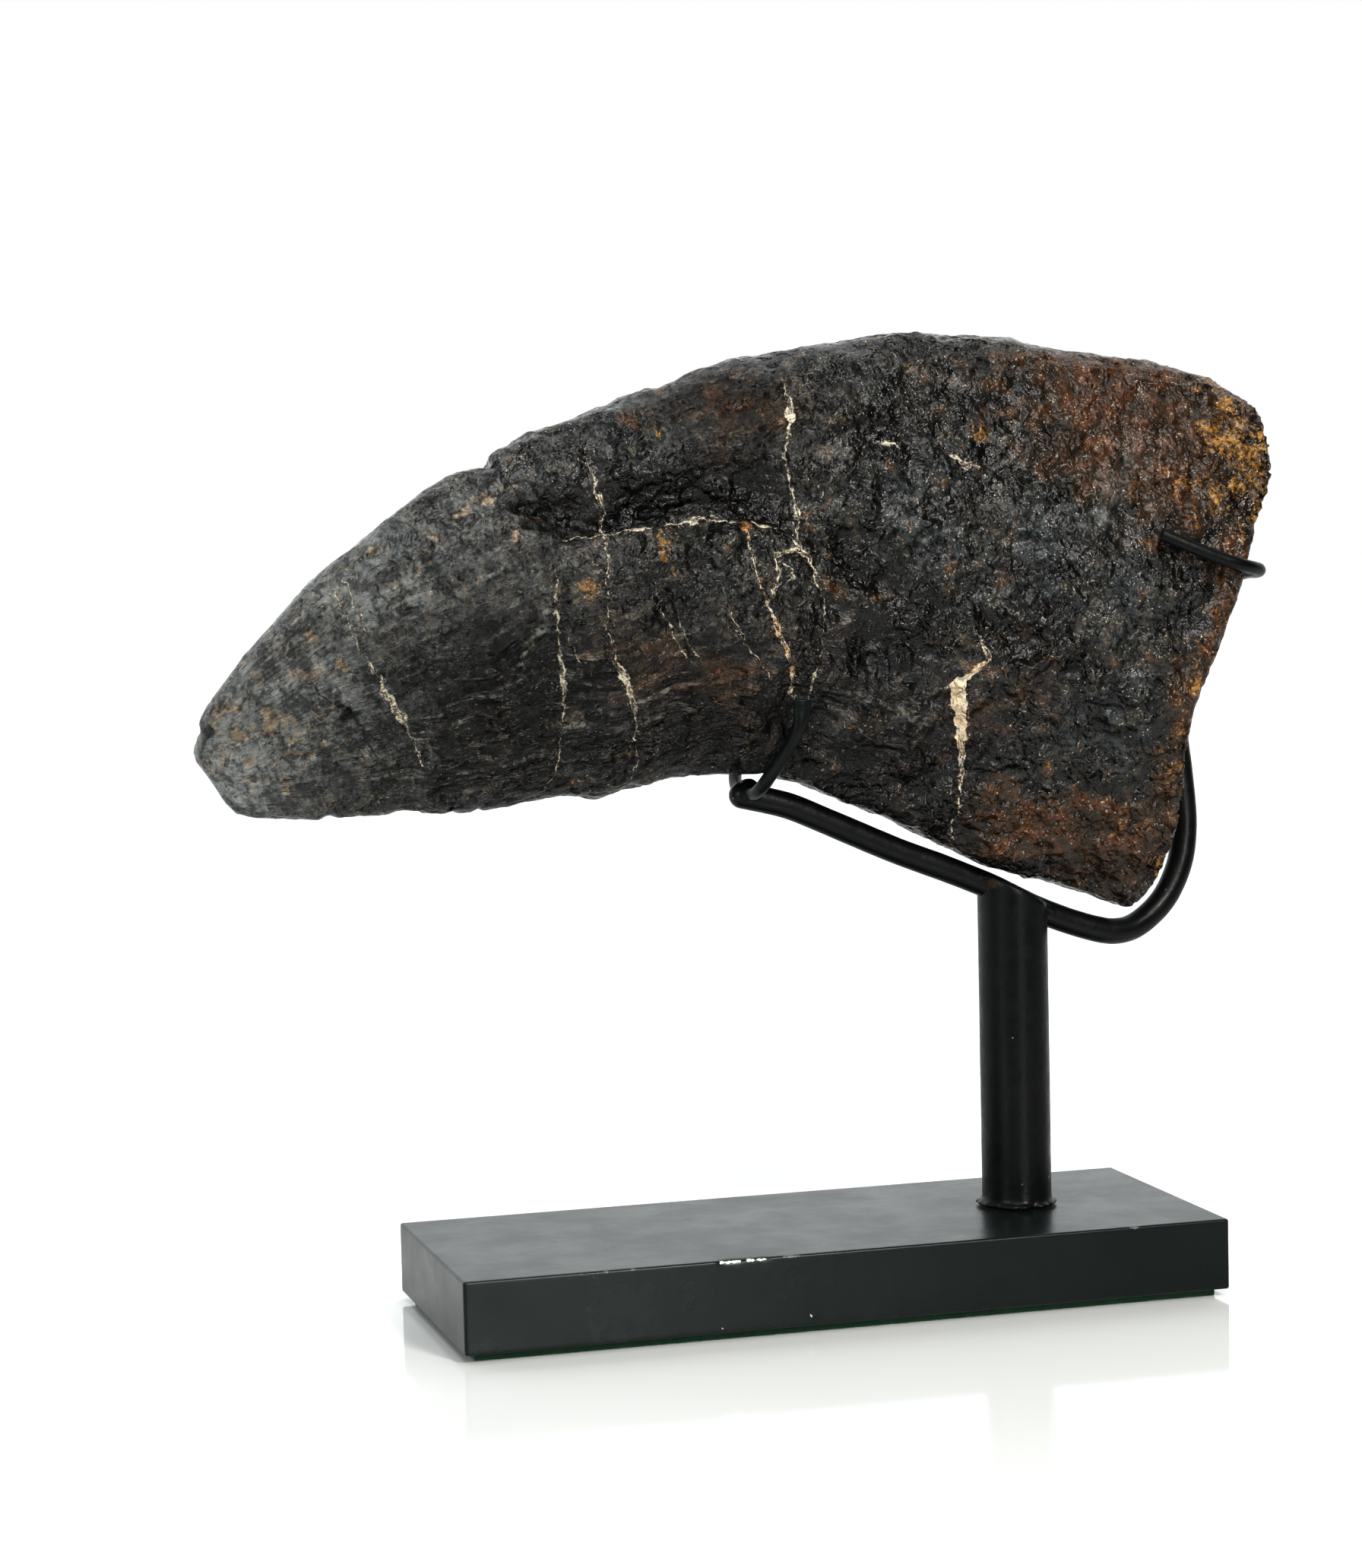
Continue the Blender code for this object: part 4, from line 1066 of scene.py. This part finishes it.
def closed_tube(name, loop, radius, sides):
    """A tube along a closed loop."""
    ahead = np.roll(loop, -1, axis=0) - np.roll(loop, 1, axis=0)
    ahead /= np.linalg.norm(ahead, axis=1)[:, None]
    centre = loop.mean(axis=0)
    out = loop - centre
    out -= ahead * (out * ahead).sum(axis=1)[:, None]
    out /= np.linalg.norm(out, axis=1)[:, None]
    other = np.cross(ahead, out)
    cosines, sines = circle(sides)
    rings = [spot + (np.outer(cosines, a) + np.outer(sines, b)) * radius
             for spot, a, b in zip(loop, out, other)]
    return mesh_from(name, np.concatenate(rings), ring_faces(len(rings), sides, closed=True))


def lump(name, spot, size):
    """A rounded blob of metal, from a finely divided cube drawn out to a ball."""
    ball = bmesh.new()
    bmesh.ops.create_cube(ball, size=1.0)
    bmesh.ops.subdivide_edges(ball, edges=ball.edges[:], cuts=11, use_grid_fill=True)
    for vertex in ball.verts:
        vertex.co = vertex.co.normalized() * Vector(size)
        vertex.co = (vertex.co + Vector(spot)) * MM
    return mesh_of(name, ball)


def slab(name, node, counts, edge):
    """A rectangular block in a fine grid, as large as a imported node, with its edges eased."""
    low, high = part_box(node)
    block = bmesh.new()
    bmesh.ops.create_cube(block, size=1.0)
    for axis, count in enumerate(counts):
        line = [e for e in block.edges if abs(e.verts[0].co[axis] - e.verts[1].co[axis]) > 0.5]
        bmesh.ops.subdivide_edges(block, edges=line, cuts=count, use_grid_fill=True)
    for vertex in block.verts:
        vertex.co = [low[i] + (vertex.co[i] + 0.5) * (high[i] - low[i]) for i in range(3)]
    block.normal_update()
    sharp = [e for e in block.edges if len(e.link_faces) == 2 and e.calc_face_angle() > 1.0]
    bmesh.ops.bevel(block, geom=sharp, offset=edge * MM, segments=4, profile=0.5, affect="EDGES",
                    clamp_overlap=True)
    return mesh_of(name, block)


# Chips and rubs on the base's front top edge: x, length, depth; and pale specks low on the front: x, z.
CHIPS = ((-22.6, 1.9, 0.5), (-19.6, 0.7, 0.35), (-17.4, 1.1, 0.4), (-24.6, 0.5, 0.3))
SCUFFS = ((-45.2, 0.7), (-40.4, 0.6), (-12, 2.4), (52, 1.2))
SPECKS = ((-33, 3.4), (-24.5, 2.4), (-16.2, 2.8), (-8.5, 3.2), (36, 3))


def build_base():
    """The lacquered block, with chips and rubs along its front edge."""
    mesh = slab("base_lacquered", "base_block", BASE_CELLS, 0.45)
    points = read_points(mesh)
    low, high = (np.array(corner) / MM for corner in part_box("base_block"))
    x, y, z = points.T
    on_edge = np.exp(-(((y - low[1]) / 0.55) ** 2 + ((z - high[2]) / 0.55) ** 2))
    chip = np.zeros(len(points))
    scuff = np.zeros(len(points))
    jagged = 0.35 * noise(points, 0.8, 27)
    for centre, length, depth in CHIPS:
        here = on_edge * np.exp(-((x - centre) / length) ** 4)
        chip = np.maximum(chip, here * (0.9 + jagged))
        points[:, 1] += here * depth * 0.5
        points[:, 2] -= here * depth * 0.6
    for centre, length in SCUFFS:
        scuff = np.maximum(scuff, on_edge * np.exp(-((x - centre) / length) ** 2))
    for centre, height in SPECKS:
        spread = ((x - centre) / 0.45) ** 2 + ((z - height) / 0.3) ** 2 + ((y - low[1]) / 0.3) ** 2
        chip = np.maximum(chip, 0.75 * np.exp(-spread))
    corners = np.exp(-(np.abs(np.abs(x) - high[0]) / 0.5)) * on_edge
    scuff = np.maximum(scuff, corners * 0.7)
    write_points(mesh, points)
    store(mesh, "wear", (chip, scuff, scuff * 0.0))
    new_piece("base_lacquered", mesh, lacquer_material(), "base_block")


def build_felt():
    """The felt, with a matted skin that stays between the table and the block."""
    mesh = slab("felt_matted", "felt_pad", FELT_CELLS, 0.2)
    roughen(mesh, ((0.9, 0.10, 29), (5.0, 0.08, 30)))
    points = read_points(mesh)
    low, high = (np.array(corner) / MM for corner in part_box("felt_pad"))
    points[:, 2] = np.clip(points[:, 2], low[2], high[2] + 0.25)
    write_points(mesh, points)
    new_piece("felt_matted", mesh, felt_material(), "felt_pad")


# ---------------------------------------------------------------- floor, light and camera
CAMERA_PLACE = (-192.89, -605.05, 143.61)
CAMERA_RIGHT = (0.96172, -0.27305, -0.02328)
CAMERA_UP = (0.04368, 0.06888, 0.99667)
FOCAL_PIXELS = 4678.0
SENSOR = 36.0
FLOOR_HALF = 1.6                # half the size of the floor, in metres
FLOOR_FRONT = 0.25              # how far in front of the frame's origin its edge lies, in metres
# Softboxes, in metres and watts: name, place, target, size, power, colour.
SOFTBOXES = (
    ("key_softbox", (0.3, -1.0, 0.75), (0.0, 0.0, 0.11), (0.17, 0.24), 12.0, (1.0, 0.965, 0.91)),
    ("front_softbox", (-0.25, -0.95, 1.2), (0.0, 0.0, 0.11), (0.62, 0.38), 8.2, (1.0, 0.98, 0.94)),
    ("strip_softbox", (0.18, -1.15, 0.27), (0.0, 0.0, 0.1), (0.09, 0.5), 3.3, (1.0, 1.0, 1.0)),
    ("left_softbox", (-0.9, -0.6, 0.38), (-0.05, 0.0, 0.12), (0.25, 0.25), 5.2, (0.93, 0.97, 1.0)),
    ("top_softbox", (0.05, 0.05, 1.1), (0.0, 0.0, 0.1), (0.3, 0.24), 3.0, (1.0, 1.0, 1.0)),
)
BACKDROP = (-0.1, 0.6, 0.05, 1.5)       # a direction's y from low to high, and the light from low to high
OVERHEAD = (0.35, 1.0, 0.0, 0.25)       # the same for its z


def build_floor():
    """A white table top, whose front edge lies a little in front of the part."""
    grid = bmesh.new()
    bmesh.ops.create_grid(grid, x_segments=24, y_segments=24, size=FLOOR_HALF)
    bmesh.ops.translate(grid, verts=grid.verts, vec=(0.0, FLOOR_HALF - FLOOR_FRONT, 0.0))
    mesh = mesh_of("floor", grid)
    mesh.materials.append(floor_material())
    floor = add_object("floor", mesh)


def add_softbox(name, place, target, size, power, colour):
    light = bpy.data.lights.new(name, "AREA")
    light.shape = "RECTANGLE"
    light.size, light.size_y = size
    light.energy = power
    light.color = colour
    lamp = add_object(name, light)
    lamp.location = place
    lamp.visible_camera = False
    lamp.rotation_euler = (Vector(target) - Vector(place)).to_track_quat("-Z", "Y").to_euler()


def build_light():
    """A white backdrop behind and above, a dimmer room in front, and softboxes."""
    world = bpy.data.worlds.new("white_studio")
    bpy.context.scene.world = world
    world.use_nodes = True
    world.node_tree.nodes.clear()
    sky = Nodes(world.node_tree)
    way = sky.node("ShaderNodeTexCoord", {}, "Generated")
    behind = sky.step(sky.node("ShaderNodeSeparateXYZ", {0: way}, 1), *BACKDROP)
    above = sky.step(sky.node("ShaderNodeSeparateXYZ", {0: way}, 2), *OVERHEAD)
    strength = sky.total(behind, above)
    room = sky.node("ShaderNodeBackground", {"Color": (0.97, 1.0, 1.0), "Strength": strength})
    seen = sky.node("ShaderNodeBackground", {"Color": (1.0, 1.0, 1.0), "Strength": 1.0})
    ray = sky.node("ShaderNodeLightPath", {}, "Is Camera Ray")
    output = sky.tree.nodes.new("ShaderNodeOutputWorld")
    sky.feed(output.inputs["Surface"], sky.node("ShaderNodeMixShader", {0: ray, 1: room, 2: seen}))
    for softbox in SOFTBOXES:
        add_softbox(*softbox)


def build_camera():
    """The camera that sees the part as a visitor standing a little to its left does."""
    data = bpy.data.cameras.new("camera")
    data.sensor_width = SENSOR
    data.lens = FOCAL_PIXELS * SENSOR / max(IMAGE_SIZE)
    data.clip_start = 0.01
    data.clip_end = 50.0
    camera = add_object("camera", data)
    right, up = Vector(CAMERA_RIGHT), Vector(CAMERA_UP)
    turn = Matrix((right, up, right.cross(up))).transposed()
    camera.matrix_world = Matrix.Translation(Vector(CAMERA_PLACE) * MM) @ turn.to_4x4()
    bpy.context.scene.camera = camera


def main():
    bpy.context.scene.view_settings.view_transform = "Standard"
    bpy.context.scene.view_settings.gamma = 0.82
    build_camera()
    build_floor()
    build_light()
    build_claw()
    steel = painted_steel_material()
    build_wires(steel)
    build_post(steel)
    build_welds(steel)
    build_base()
    build_felt()


main()
